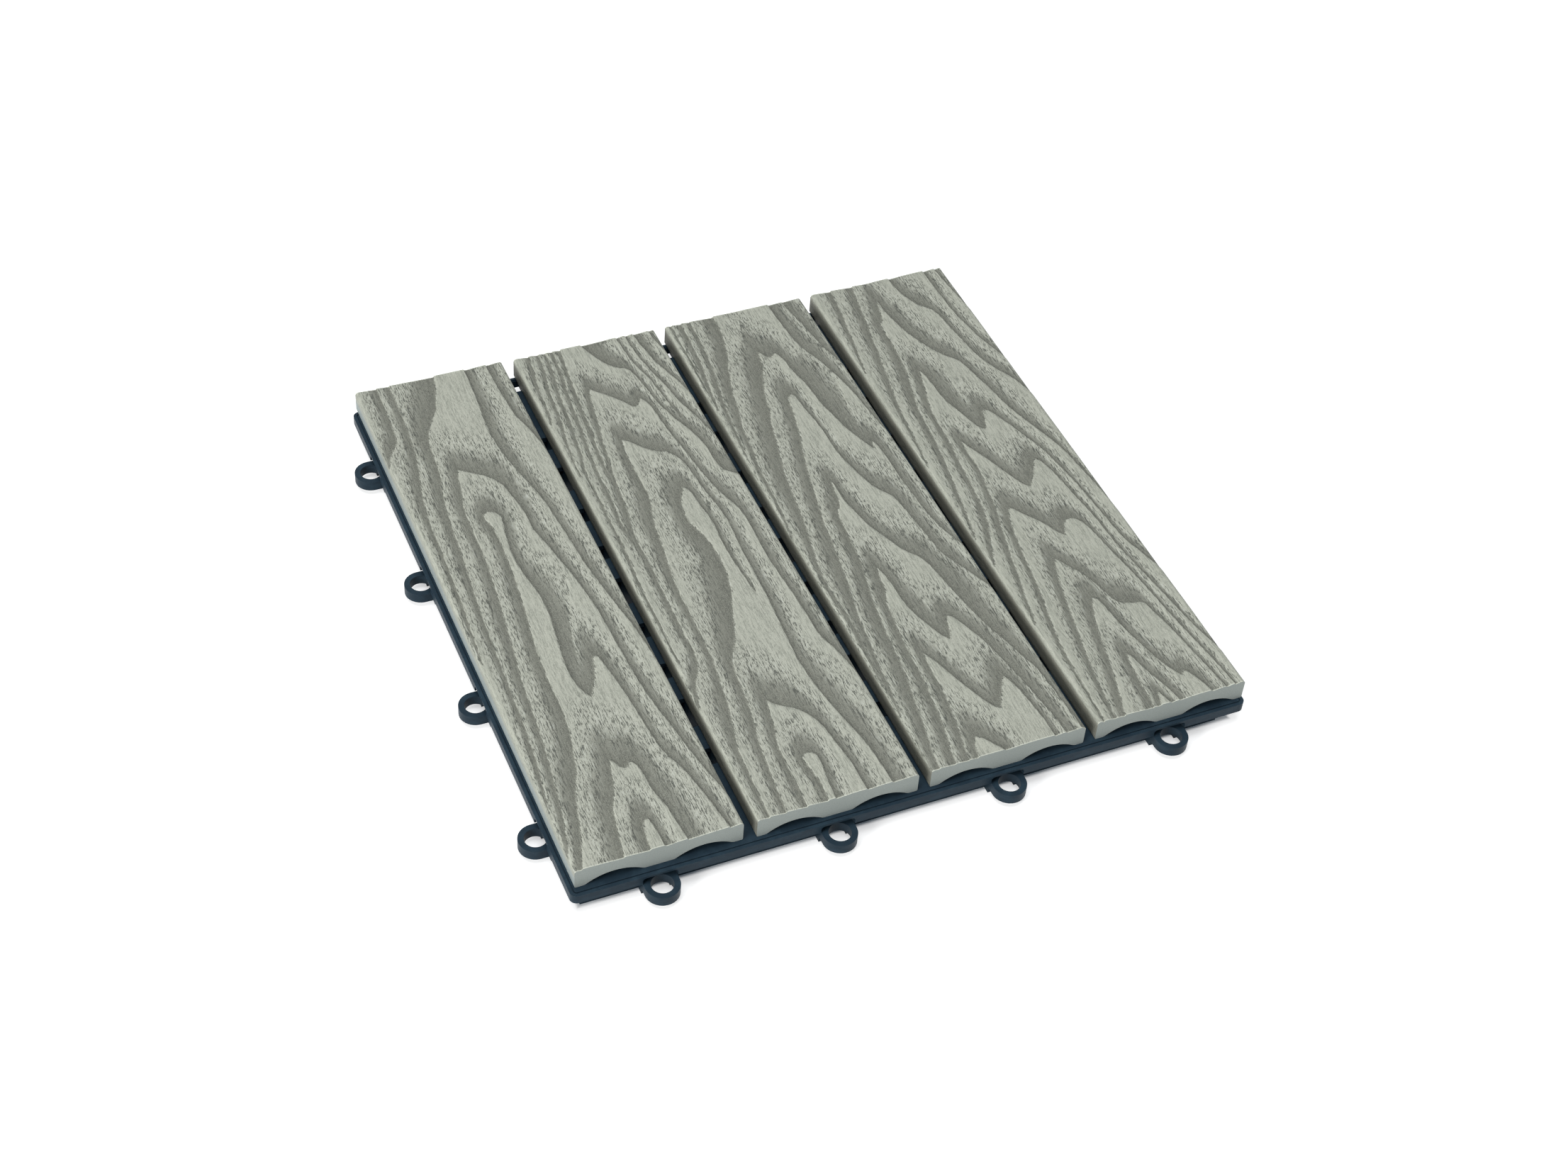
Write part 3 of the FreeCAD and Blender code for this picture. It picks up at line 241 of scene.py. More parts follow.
RINGS_3 = (
    (
        (4.4, 97, 0.5), (4.9, 105, 0.9), (5.4, 120, 1.1), (5.7, 149, 1.2),
    ),
    (
        (4.4, 84, 0.8), (5.2, 91, 1.5), (6.4, 100, 2.4), (8, 110, 3), (9.3, 120, 3.4), (10, 130, 3.6),
        (10.5, 140, 3.6), (10.7, 149, 3.8),
    ),
    (
        (4.6, 50, 0.8), (5.6, 60, 1.4), (6.5, 70, 2), (7.5, 80, 2.2), (8.9, 90, 2.4), (10.7, 100, 2.6),
        (12.3, 110, 2.6), (13.6, 120, 2.6), (14.4, 130, 2.6), (15, 140, 2.5), (15.1, 149, 2.4),
    ),
    (
        (3.6, -3, 0.8), (4.9, 10, 1.4), (5.8, 20, 1.8), (6.2, 30, 2), (6.4, 39, 2), (7.3, 45, 2.4),
        (8.2, 50, 2.8), (8.8, 55, 3), (9.3, 62, 3.4), (10, 70, 4), (11.4, 75, 4.4), (13, 80, 4.6),
        (13.6, 85, 5), (14.1, 90, 5.2), (15.5, 95, 5.4), (16.8, 100, 5.6), (18.2, 105, 6), (19.5, 110, 6.4),
        (21.4, 115, 7), (23.2, 120, 7.4), (24.3, 125, 7.8), (25.4, 130, 8.4), (26.4, 135, 9),
        (26.8, 141, 9.4), (26.6, 149, 9.6),
    ),
    (
        (4, -94, 0.9), (5, -84, 1.8), (5.7, -75, 2.4), (6.5, -66, 2.8), (6.6, -56, 2.8), (5.8, -46, 2.4),
        (5.6, -38, 2.2), (6.2, -29, 2.4), (7, -23, 3), (8.2, -16, 3.6), (9.6, -9, 4.4), (11, -2, 5.4),
        (12.3, 6, 6.6), (13.4, 15, 7.6), (14.8, 25, 8.6), (16.3, 35, 9), (18, 43, 9), (19.6, 49.5, 9),
        (21.2, 56.5, 9), (22.7, 63.6, 8.6), (24.1, 70, 8.4), (26.4, 76, 8.4), (27.4, 82, 8.4),
        (29.1, 89.1, 8.4), (31.4, 96.4, 8.6), (33.6, 101.8, 9), (35.5, 106.4, 9), (36.4, 111.8, 8),
        (37.5, 117.6, 6.5), (38.6, 115, 6), (40, 112.4, 6), (41.6, 111.3, 6), (43.2, 112.6, 6),
        (44.8, 113.6, 5.5), (46, 110.9, 5.5), (47.1, 106.4, 6), (47.4, 100.9, 8), (48.2, 95.5, 10),
        (49.5, 90, 12), (50.2, 84.5, 14), (50.6, 78, 15), (51.1, 71.8, 15), (52.3, 66.4, 15),
        (53.6, 60, 14), (54.6, 54.5, 13), (56.4, 49, 11), (58.2, 43.9, 9), (59.8, 39.5, 8), (61, 36.6, 7),
        (61.5, 39.6, 6), (62.1, 41.8, 5.5), (63.2, 40, 5.5), (63.8, 35.5, 5.5), (64.1, 28.2, 5.5),
        (64.1, 19, 5.5), (64.4, 10, 5.5), (65, 0.9, 5.2), (65.4, -6.4, 5), (66.2, -13.6, 4.4),
        (67.3, -20, 3.6), (68.6, -24.5, 3), (70, -28.6, 2.4), (72, -34, 2),
    ),
    (
        (55.4, 149, 8), (55.6, 140, 8), (56.3, 130, 8), (57.1, 120, 8), (58, 115, 8), (59.5, 110, 7.4),
        (61.4, 105, 6.6), (63.2, 100, 6), (64.4, 95, 5.4), (65.6, 90, 5), (66.6, 85, 4.4), (67.5, 80, 4),
        (68.3, 75, 3.6), (69, 69, 3), (69.8, 60, 2.4), (71, 50, 2),
    ),
    (
        (62.6, 149, 7), (63.6, 140, 7), (65.5, 130, 6.6), (66.8, 120, 5.6), (68.2, 110, 4.4),
        (69.6, 105, 3.4), (71.5, 98, 2.4),
    ),
    (
        (3.8, -116, 0.8), (5.2, -104, 2), (6.5, -91, 3), (8, -80, 3.6), (9.3, -70, 3.8), (10.1, -60, 4),
        (11.2, -54.5, 5), (12.3, -49.5, 6.5), (14.1, -40, 7.5), (15.4, -33, 8), (17.1, -21, 8),
        (18.7, -11, 6.6), (19.6, -2, 5.8), (21.5, 8.5, 5.8), (23.7, 19.5, 6), (26, 30.5, 6),
        (28.2, 40.5, 5.4), (30, 46.5, 5.2), (32, 53, 5.2), (33.6, 60, 6), (35, 66.4, 6), (36.2, 72.7, 6),
        (36.8, 78.2, 6), (38, 82.2, 6), (40.5, 83.6, 5.6), (41.7, 82.2, 3.6), (42, 77.3, 3),
        (42.5, 70.9, 2.8), (43.5, 63.6, 2.6), (44.1, 56.4, 2.4), (44.3, 48, 2.2), (44.3, 41, 2.8),
        (45, 35, 3.6), (46.1, 30, 4.2), (47.1, 25, 4.8), (48.4, 20, 5.2), (49.8, 15, 5.4), (51.8, 11, 5.6),
        (54.1, 8, 5.6), (55.9, 5, 6), (56.8, 0, 6.4), (57.5, -5, 6.6), (58, -10, 6.8), (58.7, -16, 6.6),
        (59.7, -25, 6.4), (60.1, -31, 6.2), (60.9, -35, 6), (62.7, -40, 5.6), (65, -45, 5), (67.3, -50, 4),
        (69.5, -55.4, 3), (72, -61, 2),
    ),
    (
        (6, -149, 5), (6.8, -140, 5), (8, -134, 5), (9.3, -128, 5.4), (10.9, -120, 6), (12.3, -110, 6.6),
        (14.5, -100, 6.6), (15.5, -93, 6.4), (16, -87, 6.6), (16.6, -79, 7), (17.7, -70, 7.4),
        (19.1, -60, 7.6), (20.1, -52, 6.6), (21.4, -46.4, 6.2), (22.7, -39.1, 6), (24.4, -31.8, 6),
        (25, -26.4, 5.8), (25.9, -19.1, 5.6), (26.6, -11.8, 5.2), (27.1, -4.5, 5), (27.7, 1.5, 5),
        (28.7, 5, 4.6), (30.5, 6.3, 4.4), (31.4, 9.5, 4.6), (32, 13.8, 4.8), (32.9, 19.2, 4.8),
        (33.8, 23, 4.6), (34.4, 19.5, 4.6), (34.1, 13.6, 5), (34.4, 8.5, 5.4), (35.2, 4.6, 5.8),
        (36, 0.5, 6), (36.9, -4, 5.6), (37.9, -8.6, 5), (39.5, -12.7, 4.8), (41.4, -17.3, 4.8),
        (43.2, -21.8, 5), (45, -26.4, 5.4), (47.3, -30, 5.6), (49.5, -32.4, 6), (51.2, -35.6, 7),
        (52.5, -40, 8.4), (53.5, -45.5, 9.4), (54.2, -51, 10.4), (55.2, -57, 12), (56.4, -64, 12),
        (57.5, -70, 12), (58.8, -76, 11), (60, -82, 10), (61.6, -87, 9), (63.3, -92.5, 8),
        (65.3, -100, 6.6), (66.7, -105, 5.4), (68.2, -109, 4.6), (68.9, -115, 4.2), (69.4, -122, 3.6),
        (70, -132, 3), (71, -149, 2.4),
    ),
    (
        (13.3, -149, 5.2), (14.5, -140, 5.2), (15.8, -134, 5.2), (17.4, -127, 5.2), (18.7, -119, 5.2),
        (19.6, -110, 5.4), (20.8, -102, 5.4), (21.4, -91, 5.2), (22, -81, 5), (22.7, -74, 4.8),
        (23.8, -66, 4.6), (24.6, -58, 4.6), (25.2, -54, 4.8), (26.4, -51.2, 5.4), (27.5, -48.4, 5.8),
        (28.2, -44.5, 6), (28.9, -39.1, 6), (30.3, -33.8, 5.4), (31.4, -38.2, 6), (32, -44.5, 7),
        (32.2, -53, 9), (32.8, -60, 9.4), (33.9, -65, 9), (35.5, -70, 8.4), (37.2, -75, 7.8),
        (39.2, -80, 7), (41.4, -83.2, 6.6), (43.1, -79.5, 6), (44.2, -75, 5.6), (45.2, -71.6, 5),
        (46.6, -70.3, 4.6), (48.2, -71.6, 4.6), (49.5, -74.5, 4.6), (51.1, -78.6, 5), (52.7, -83.2, 5.6),
        (54.4, -87.9, 6), (55.7, -93.5, 6.4), (56.8, -99.5, 6.8), (58.2, -105.9, 7), (59.5, -113.2, 7),
        (60.5, -120.5, 7), (61.4, -127.7, 6.8), (62.5, -135, 6.4), (63.2, -141.4, 6.2), (63.5, -149, 6),
    ),
    (
        (19, -149, 4), (20.2, -141, 4), (21.4, -135.9, 4.2), (22.5, -129.5, 4.6), (23.8, -123.2, 4.8),
        (24.6, -117.7, 4.8), (25.3, -112.3, 4.6), (25.9, -105, 4.4), (26.1, -97.7, 4.2), (26.5, -90.5, 4.4),
        (27.3, -86.4, 5), (29.1, -90.5, 5), (30.9, -95, 4.8), (32.7, -100.5, 4.6), (34.4, -105.9, 4.6),
        (36.4, -111.4, 4.6), (38.6, -116.8, 4.6), (40.5, -121.4, 4.8), (42.4, -124.6, 4.8),
        (44.1, -125.2, 5), (45.6, -123, 5), (47.3, -119.5, 5.4), (49.5, -115.5, 5.6), (51.8, -111.4, 5.6),
        (53.3, -110, 5.4), (54.5, -113.2, 4.6), (55.9, -118.6, 4.4), (56.8, -125, 4), (57.5, -131.4, 3.6),
        (58.2, -138.6, 3.2), (58.3, -149, 3),
    ),
    (
        (23.2, -149, 3.4), (24.4, -142.3, 3.6), (25.5, -138.6, 4.2), (27.3, -136.2, 5.6), (30, -138.2, 5.4),
        (32.3, -141.8, 5), (34.5, -145, 5), (36.6, -149, 5),
    ),
)
RINGS_4 = (
    (
        (79.2, 86, 0.6), (80.2, 92, 1), (81.4, 100, 1.6), (82.4, 105, 2), (83.3, 110, 2.4), (84.6, 120, 3),
        (85.6, 125.5, 3.4), (86.5, 131, 3.8), (87.5, 140, 4), (88.1, 149, 4),
    ),
    (
        (79, 18, 0.5), (80.3, 28, 1), (81.4, 38, 1.4), (82.2, 47, 1.7), (83, 55, 2.2), (83.8, 60, 2.6),
        (84.7, 65, 3), (85.6, 70, 3.4), (86.5, 75, 3.8), (87.7, 80, 4), (88.7, 86, 4.2), (89.3, 91, 4.4),
        (90.6, 95.5, 4.6), (91.4, 100, 4.8), (92, 105, 5), (92.8, 110, 5.2), (94, 115, 5.4),
        (95.1, 120, 5.6), (96.4, 130, 5.2), (98, 140, 4.8), (99.6, 149, 4.6),
    ),
    (
        (78.8, -31, 0.6), (80.3, -23, 1.2), (81.8, -15, 1.8), (82.9, -9, 2.2), (84, -3, 2.6), (85.2, 4, 3),
        (86.2, 11, 3.2), (87.6, 19.5, 3.4), (89, 29, 4), (89.9, 38, 4), (90.6, 46, 4), (91.2, 53.6, 4.2),
        (92.3, 59, 4.8), (93.6, 64.5, 5.2), (95, 70, 5.4), (96.4, 75.5, 5.6), (97.4, 80, 6),
        (98.5, 86.4, 6), (99, 92, 5.4), (99.5, 99, 4.6), (100, 106.4, 4.4), (100.1, 113.6, 4.4),
        (100.9, 117.6, 4.4), (102.6, 118.8, 4.4), (103.6, 121.2, 4.6), (104.5, 126.4, 5), (105.9, 131.8, 5),
        (106.5, 137.2, 4.6), (107, 131, 6), (106.9, 125.5, 7), (107.7, 120, 8), (108.8, 114.5, 8.6),
        (109.6, 110, 8.6), (110.9, 105.5, 8), (112.7, 100.9, 7), (114.5, 96.4, 6.4), (116.4, 92.7, 6),
        (118.2, 89.1, 5.6), (120.5, 85.5, 5.4), (123.2, 82.8, 5), (125, 80, 4.2), (126.2, 75.5, 3.8),
        (127.3, 70, 4), (128.2, 64.5, 4.6), (129.5, 59, 5), (130.4, 53.6, 5.6), (131.2, 48.2, 6),
        (132.6, 41.5, 5.4), (134.3, 35.4, 5), (136, 30, 4.6), (137.6, 25, 4), (139.2, 20, 3.4),
        (140.8, 15, 2.8), (142.2, 9.6, 2.4), (143.2, 4, 2), (144, -4, 1.7), (145, -12, 1.5),
        (146, -22, 1.4), (147.5, -38, 1.2),
    ),
    (
        (118.8, 149, 6.4), (119.5, 140, 6.2), (120.5, 134.5, 6), (122.3, 129.5, 6), (124.2, 125, 5.6),
        (126.8, 122.3, 5.2), (129.1, 119.5, 4.6), (130.5, 115.5, 4), (131.2, 110, 3.6), (131.8, 103.6, 3.4),
        (132.7, 97.3, 3.2), (133.5, 90.9, 3.2), (134.2, 84.5, 3.4), (135.4, 79.1, 3.8), (137.3, 73.6, 4),
        (139.5, 68.2, 4), (142.2, 63.6, 3.6), (144.1, 59, 3), (145.7, 53, 2.4), (148, 45, 2),
    ),
    (
        (137.7, 149, 3.2), (137.8, 135, 3.2), (138.2, 120, 2.8), (138.9, 110, 2.6), (139.8, 105, 2.6),
        (140.6, 100, 2.4), (141.4, 95, 2.3), (142.6, 90, 2.2), (144.1, 85, 2.2), (145.7, 79.5, 2),
        (148, 72, 1.6),
    ),
    (
        (143.7, 149, 2.2), (144.3, 140, 2), (145.2, 130, 1.8), (146.4, 119, 1.4), (148, 110, 1),
    ),
    (
        (79, -50, 0.6), (80.6, -45, 1.6), (82.4, -40, 2.2), (84.4, -35, 2.7), (86.1, -30, 3),
        (87.8, -25, 3.2), (88.9, -20, 3.3), (90.1, -15, 3.3), (91, -9, 3.3), (92, -1, 3.3), (92.8, 9, 3.4),
        (94.1, 20, 3.6), (95.2, 30, 3.4), (95.8, 40, 3.3), (96.4, 49.5, 3.4), (97.6, 55.5, 3.8),
        (98.7, 60.9, 4), (100.4, 65.5, 4), (101.4, 70.9, 4.2), (102.7, 76.4, 4.4), (103.9, 80.4, 5),
        (105, 75.5, 8), (105.6, 68.2, 11), (105.8, 60.9, 11.5), (106.4, 55.5, 11.5), (108.1, 50.2, 10.5),
        (109.5, 45.5, 9), (110.8, 40.3, 8), (112.4, 35.4, 7), (113.6, 33.4, 6.6), (115, 32.3, 6.6),
        (116.1, 34, 6.4), (117, 37, 6.2), (118.2, 41, 5.6), (119.2, 44.2, 4.8), (120.5, 45, 4.4),
        (122.3, 43.4, 3.8), (123.7, 40, 3.4), (125.5, 35.5, 3.2), (127.3, 30.9, 3), (129.1, 25.5, 2.8),
        (130.9, 20, 2.7), (132.5, 15.5, 2.6), (133.7, 10.9, 2.6), (134.6, 6.2, 2.6), (135.5, 0, 2.6),
        (136.4, -5.5, 2.5), (137.1, -10.9, 2.3), (137.9, -18.2, 2.1), (138.4, -25.5, 2), (138.9, -31.8, 2),
        (139.5, -38.2, 2.1), (139.9, -45, 2.2), (140.5, -51.5, 2.4), (141.6, -57, 2.5), (143, -61, 2.6),
        (144.3, -66, 2.6), (145.6, -70.6, 2.4), (148, -78, 1.8),
    ),
    (
        (79.5, -88, 0.6), (80.8, -82, 1.2), (82, -75.5, 1.6), (83, -70, 1.8), (84.4, -65, 2),
        (85.4, -60, 2.4), (86.5, -55.3, 2.6), (87.5, -50, 2.8), (88.7, -44.5, 3), (90, -39.1, 3.2),
        (91.4, -33.6, 3.4), (92.6, -28.2, 3.5), (94.2, -22.7, 3.5), (95.6, -17.3, 3.4), (96.5, -11.8, 3.2),
        (97.3, -6.4, 3.2), (98.3, -0.9, 3.2), (99.4, 3.6, 3.2), (99.9, 10, 3.2), (100, 17.3, 3.4),
        (100, 23.6, 3.6), (100.7, 28.4, 4), (101.8, 25, 4.6), (103.6, 20.9, 4.8), (105.5, 16.4, 4.8),
        (107.3, 11.8, 5), (109, 7.2, 5), (110.9, 1.8, 5), (112.7, -2.7, 5), (114.5, -6.9, 5),
        (116.8, -9.3, 5.4), (119, -6.4, 5.4), (121.8, -2.7, 5.2), (124.1, 1.8, 5), (125.9, 5.4, 4.6),
        (127.4, 6.6, 4.2), (128.7, 5, 3.4), (129.8, 1.8, 2.8), (130.9, -2.7, 2.4), (131.8, -9.1, 2.2),
        (132.5, -15.5, 2.1), (133.2, -22.7, 2), (134.1, -29.1, 1.9), (134.8, -35.5, 1.8), (135.3, -43, 1.7),
        (135.6, -52, 1.8), (136.4, -60, 2), (137.7, -70, 2.1), (139.1, -80, 2.1), (140.5, -90, 2),
        (141.8, -100, 1.9), (143.2, -110, 1.8), (144.2, -115, 1.8), (145.3, -120, 1.7), (147.5, -129, 1.4),
    ),
    (
        (80.8, -149, 0.9), (81.3, -139, 1), (81.9, -129, 1.2), (82.5, -119, 1.5), (83, -110, 1.8),
        (84.1, -100, 2.2), (85.1, -94.5, 2.4), (86.2, -89, 2.5), (88.3, -79.5, 2.5), (90.4, -69.5, 2.5),
        (92, -59.5, 2.6), (93, -51.5, 2.9), (94, -46, 3), (95, -40.9, 3.2), (95.9, -35.5, 3.3),
        (96.9, -30.9, 3.4), (98.2, -26.4, 3.5), (99.6, -21.8, 3.8), (101.4, -18.6, 5), (103.2, -20.5, 5.4),
        (105, -23.6, 5.4), (107.3, -26.8, 5.4), (110, -30.5, 5.2), (112.3, -34.5, 5), (114.5, -39.6, 5),
        (116.8, -42.7, 5.2), (118.3, -39.8, 5), (119.9, -36.2, 4.6), (121.9, -34, 4.2), (124.2, -33.7, 4),
        (126.4, -35, 3.6), (128.2, -38.2, 3), (129.4, -42.7, 2.4), (130.3, -48.5, 2.2), (131.1, -55, 2.2),
        (132, -61.5, 2.3), (133.5, -70, 2.2), (134.8, -80, 2), (135.9, -90, 2), (136.9, -100, 2.1),
        (138.1, -110, 2), (139.5, -120, 1.8), (140.9, -130, 1.7), (142, -140, 1.6), (142.9, -149, 1.6),
    ),
    (
        (86, -149, 2), (86.9, -139.5, 2.2), (87.8, -133.2, 2.5), (88.7, -126.8, 2.7), (89.6, -121.4, 2.8),
        (90.9, -115, 3), (91.9, -108.6, 3.2), (93.2, -103.2, 3.2), (94.5, -97.7, 3.3), (95.7, -91.4, 3.4),
        (97.1, -85, 3.5), (98.3, -79.5, 3.6), (99.8, -73.2, 3.8), (101, -67.7, 4), (102.7, -62.3, 4.3),
        (104.1, -57.7, 4.6), (105.5, -54.5, 5), (107.3, -56.9, 4.6), (109.5, -61.4, 4.4),
        (112.2, -65.5, 4.4), (113.7, -69.1, 4.4), (115.3, -74.1, 4.4), (116.5, -78.6, 4.8),
        (117.6, -84.1, 5.6), (119.1, -87.3, 6), (121.4, -89, 6), (124.5, -90, 5.4), (127.3, -90.6, 5),
        (129.4, -91.2, 3.6), (130.2, -93.4, 2.6), (131, -98.6, 2.2), (132.3, -104.1, 1.9),
        (133.5, -111.4, 1.8), (134.5, -118.6, 1.8), (135.3, -125, 1.8), (136.4, -132.3, 1.8),
        (137.4, -139.5, 1.8), (138.6, -149, 1.8),
    ),
    (
        (90, -149, 3.6), (91.5, -143.2, 3.6), (93.2, -137.7, 3.8), (94.6, -132.3, 4), (96.4, -126.8, 4),
        (98, -121.4, 4), (99.4, -115, 4), (100.9, -108.6, 4), (102.3, -102.3, 4), (103.7, -96.8, 4.3),
        (105.1, -92.3, 4.6), (106.8, -88.2, 4.8), (108.4, -84.1, 4.8), (109.9, -81.5, 5), (111.5, -82.9, 5),
        (112.4, -86.8, 4.8), (113, -92.3, 4.8), (113.7, -98.6, 4.6), (114.7, -105, 4.2), (115.9, -110.5, 4),
        (117.3, -116.8, 3.8), (118.7, -122.3, 3.6), (120.5, -127.7, 3.5), (122.3, -131.8, 3.4),
        (124, -134.9, 3.4), (125.1, -133, 3.4), (126.6, -132.6, 3.4), (128.2, -135.9, 3.6),
        (129.5, -139.5, 3.8), (130.7, -143.2, 3.8), (131.8, -149, 3.8),
    ),
    (
        (103.7, -149, 5.4), (104.4, -141.4, 5.2), (104.9, -135.9, 5), (105.5, -130.5, 4.6),
        (106.2, -125, 4.4), (106.8, -119.6, 4.2), (108, -116.1, 4.2), (109.2, -117.5, 4.4),
        (110, -122.3, 4.4), (111.4, -127.7, 4.2), (112.7, -132.3, 4), (114.1, -136.8, 4),
        (115.4, -141.4, 4), (116.6, -149, 4),
    ),
    (
        (106.4, -149, 2), (108.6, -143, 3), (109.6, -139, 2.6), (110.6, -142, 2.6), (112.6, -149, 2),
    ),
)


class Side(Enum):
    """Which slot of a slat a face wears."""

    PRESSED = 0
    SAWN = 1


class Outside(Enum):
    """Which side of a slat faces away from the tile."""

    LEFT = -1
    NEITHER = 0
    RIGHT = 1


def from_screen(red: int, green: int, blue: int) -> Colour:
    """Screen colour in 0 to 255 as the linear colour that a shader wants."""
    steps = [value / 255 for value in (red, green, blue)]
    return tuple(v / 12.92 if v <= 0.04045 else ((v + 0.055) / 1.055) ** 2.4 for v in steps)


def smooth_step(low: float, high: float, value: np.ndarray) -> np.ndarray:
    """Soft ramp from 0 at low to 1 at high."""
    share = np.clip((value - low) / (high - low), 0.0, 1.0)
    return share * share * (3.0 - 2.0 * share)


class Wire:
    """One shader socket that takes part in Python arithmetic."""

    def __init__(self, tree: bpy.types.NodeTree, socket: bpy.types.NodeSocket) -> None:
        """Keeps the socket and its tree."""
        self.tree = tree
        self.socket = socket

    def join(self, operation: str, *values: "Wire | float", clamp: bool = False) -> "Wire":
        """Adds a Math node.

        Args:
            operation: The node's operation.
            *values: Its inputs in order, as wires or numbers.
            clamp: Whether the result stays in 0 to 1.

        Returns:
            The node's result.
        """
        node = self.tree.nodes.new("ShaderNodeMath")
        node.operation = operation
        node.use_clamp = clamp
        for socket, value in zip(node.inputs, values):
            if isinstance(value, Wire):
                self.tree.links.new(value.socket, socket)
            else:
                socket.default_value = value
        return Wire(self.tree, node.outputs[0])

    def __add__(self, other: "Wire | float") -> "Wire":
        """Sum."""
        return self.join("ADD", self, other)

    def __radd__(self, other: float) -> "Wire":
        """Sum with the number first."""
        return self.join("ADD", other, self)

    def __sub__(self, other: "Wire | float") -> "Wire":
        """Difference."""
        return self.join("SUBTRACT", self, other)

    def __rsub__(self, other: float) -> "Wire":
        """Difference with the number first."""
        return self.join("SUBTRACT", other, self)

    def __mul__(self, other: "Wire | float") -> "Wire":
        """Product."""
        return self.join("MULTIPLY", self, other)

    def __rmul__(self, other: float) -> "Wire":
        """Product with the number first."""
        return self.join("MULTIPLY", other, self)

    def clamped(self) -> "Wire":
        """The same value kept in 0 to 1."""
        return self.join("ADD", self, 0.0, clamp=True)

    def ramp(self, low: float, high: float) -> "Wire":
        """Soft ramp from 0 at low to 1 at high, or down where low is above high."""
        share = ((self - low) * (1.0 / (high - low))).clamped()
        return share * share * (3.0 - 2.0 * share)


def seen_plainly(tree: bpy.types.NodeTree) -> Wire:
    """Tells light seen plainly from light that only falls on things.

    Args:
        tree: The node tree that asks.

    Returns:
        1 for rays of the camera, of mirrored light and of light let through, else 0.
    """
    path = tree.nodes.new("ShaderNodeLightPath")
    seen = Wire(tree, path.outputs["Is Camera Ray"]) + Wire(tree, path.outputs["Is Glossy Ray"])
    return (seen + Wire(tree, path.outputs["Is Transmission Ray"])).clamped()


def add_object(name: str, data: bpy.types.ID) -> bpy.types.Object:
    """Adds an object to the scene.

    Args:
        name: The object's name.
        data: Its mesh, light or camera.

    Returns:
        The object.
    """
    made = bpy.data.objects.new(name, data)
    bpy.context.scene.collection.objects.link(made)
    return made


def make_plain(piece: bpy.types.Object) -> None:
    """Makes what an object's modifiers give its own mesh.

    Args:
        piece: The object.
    """
    view = bpy.context.evaluated_depsgraph_get()
    made = bpy.data.meshes.new_from_object(piece.evaluated_get(view))
    piece.modifiers.clear()
    piece.data = made


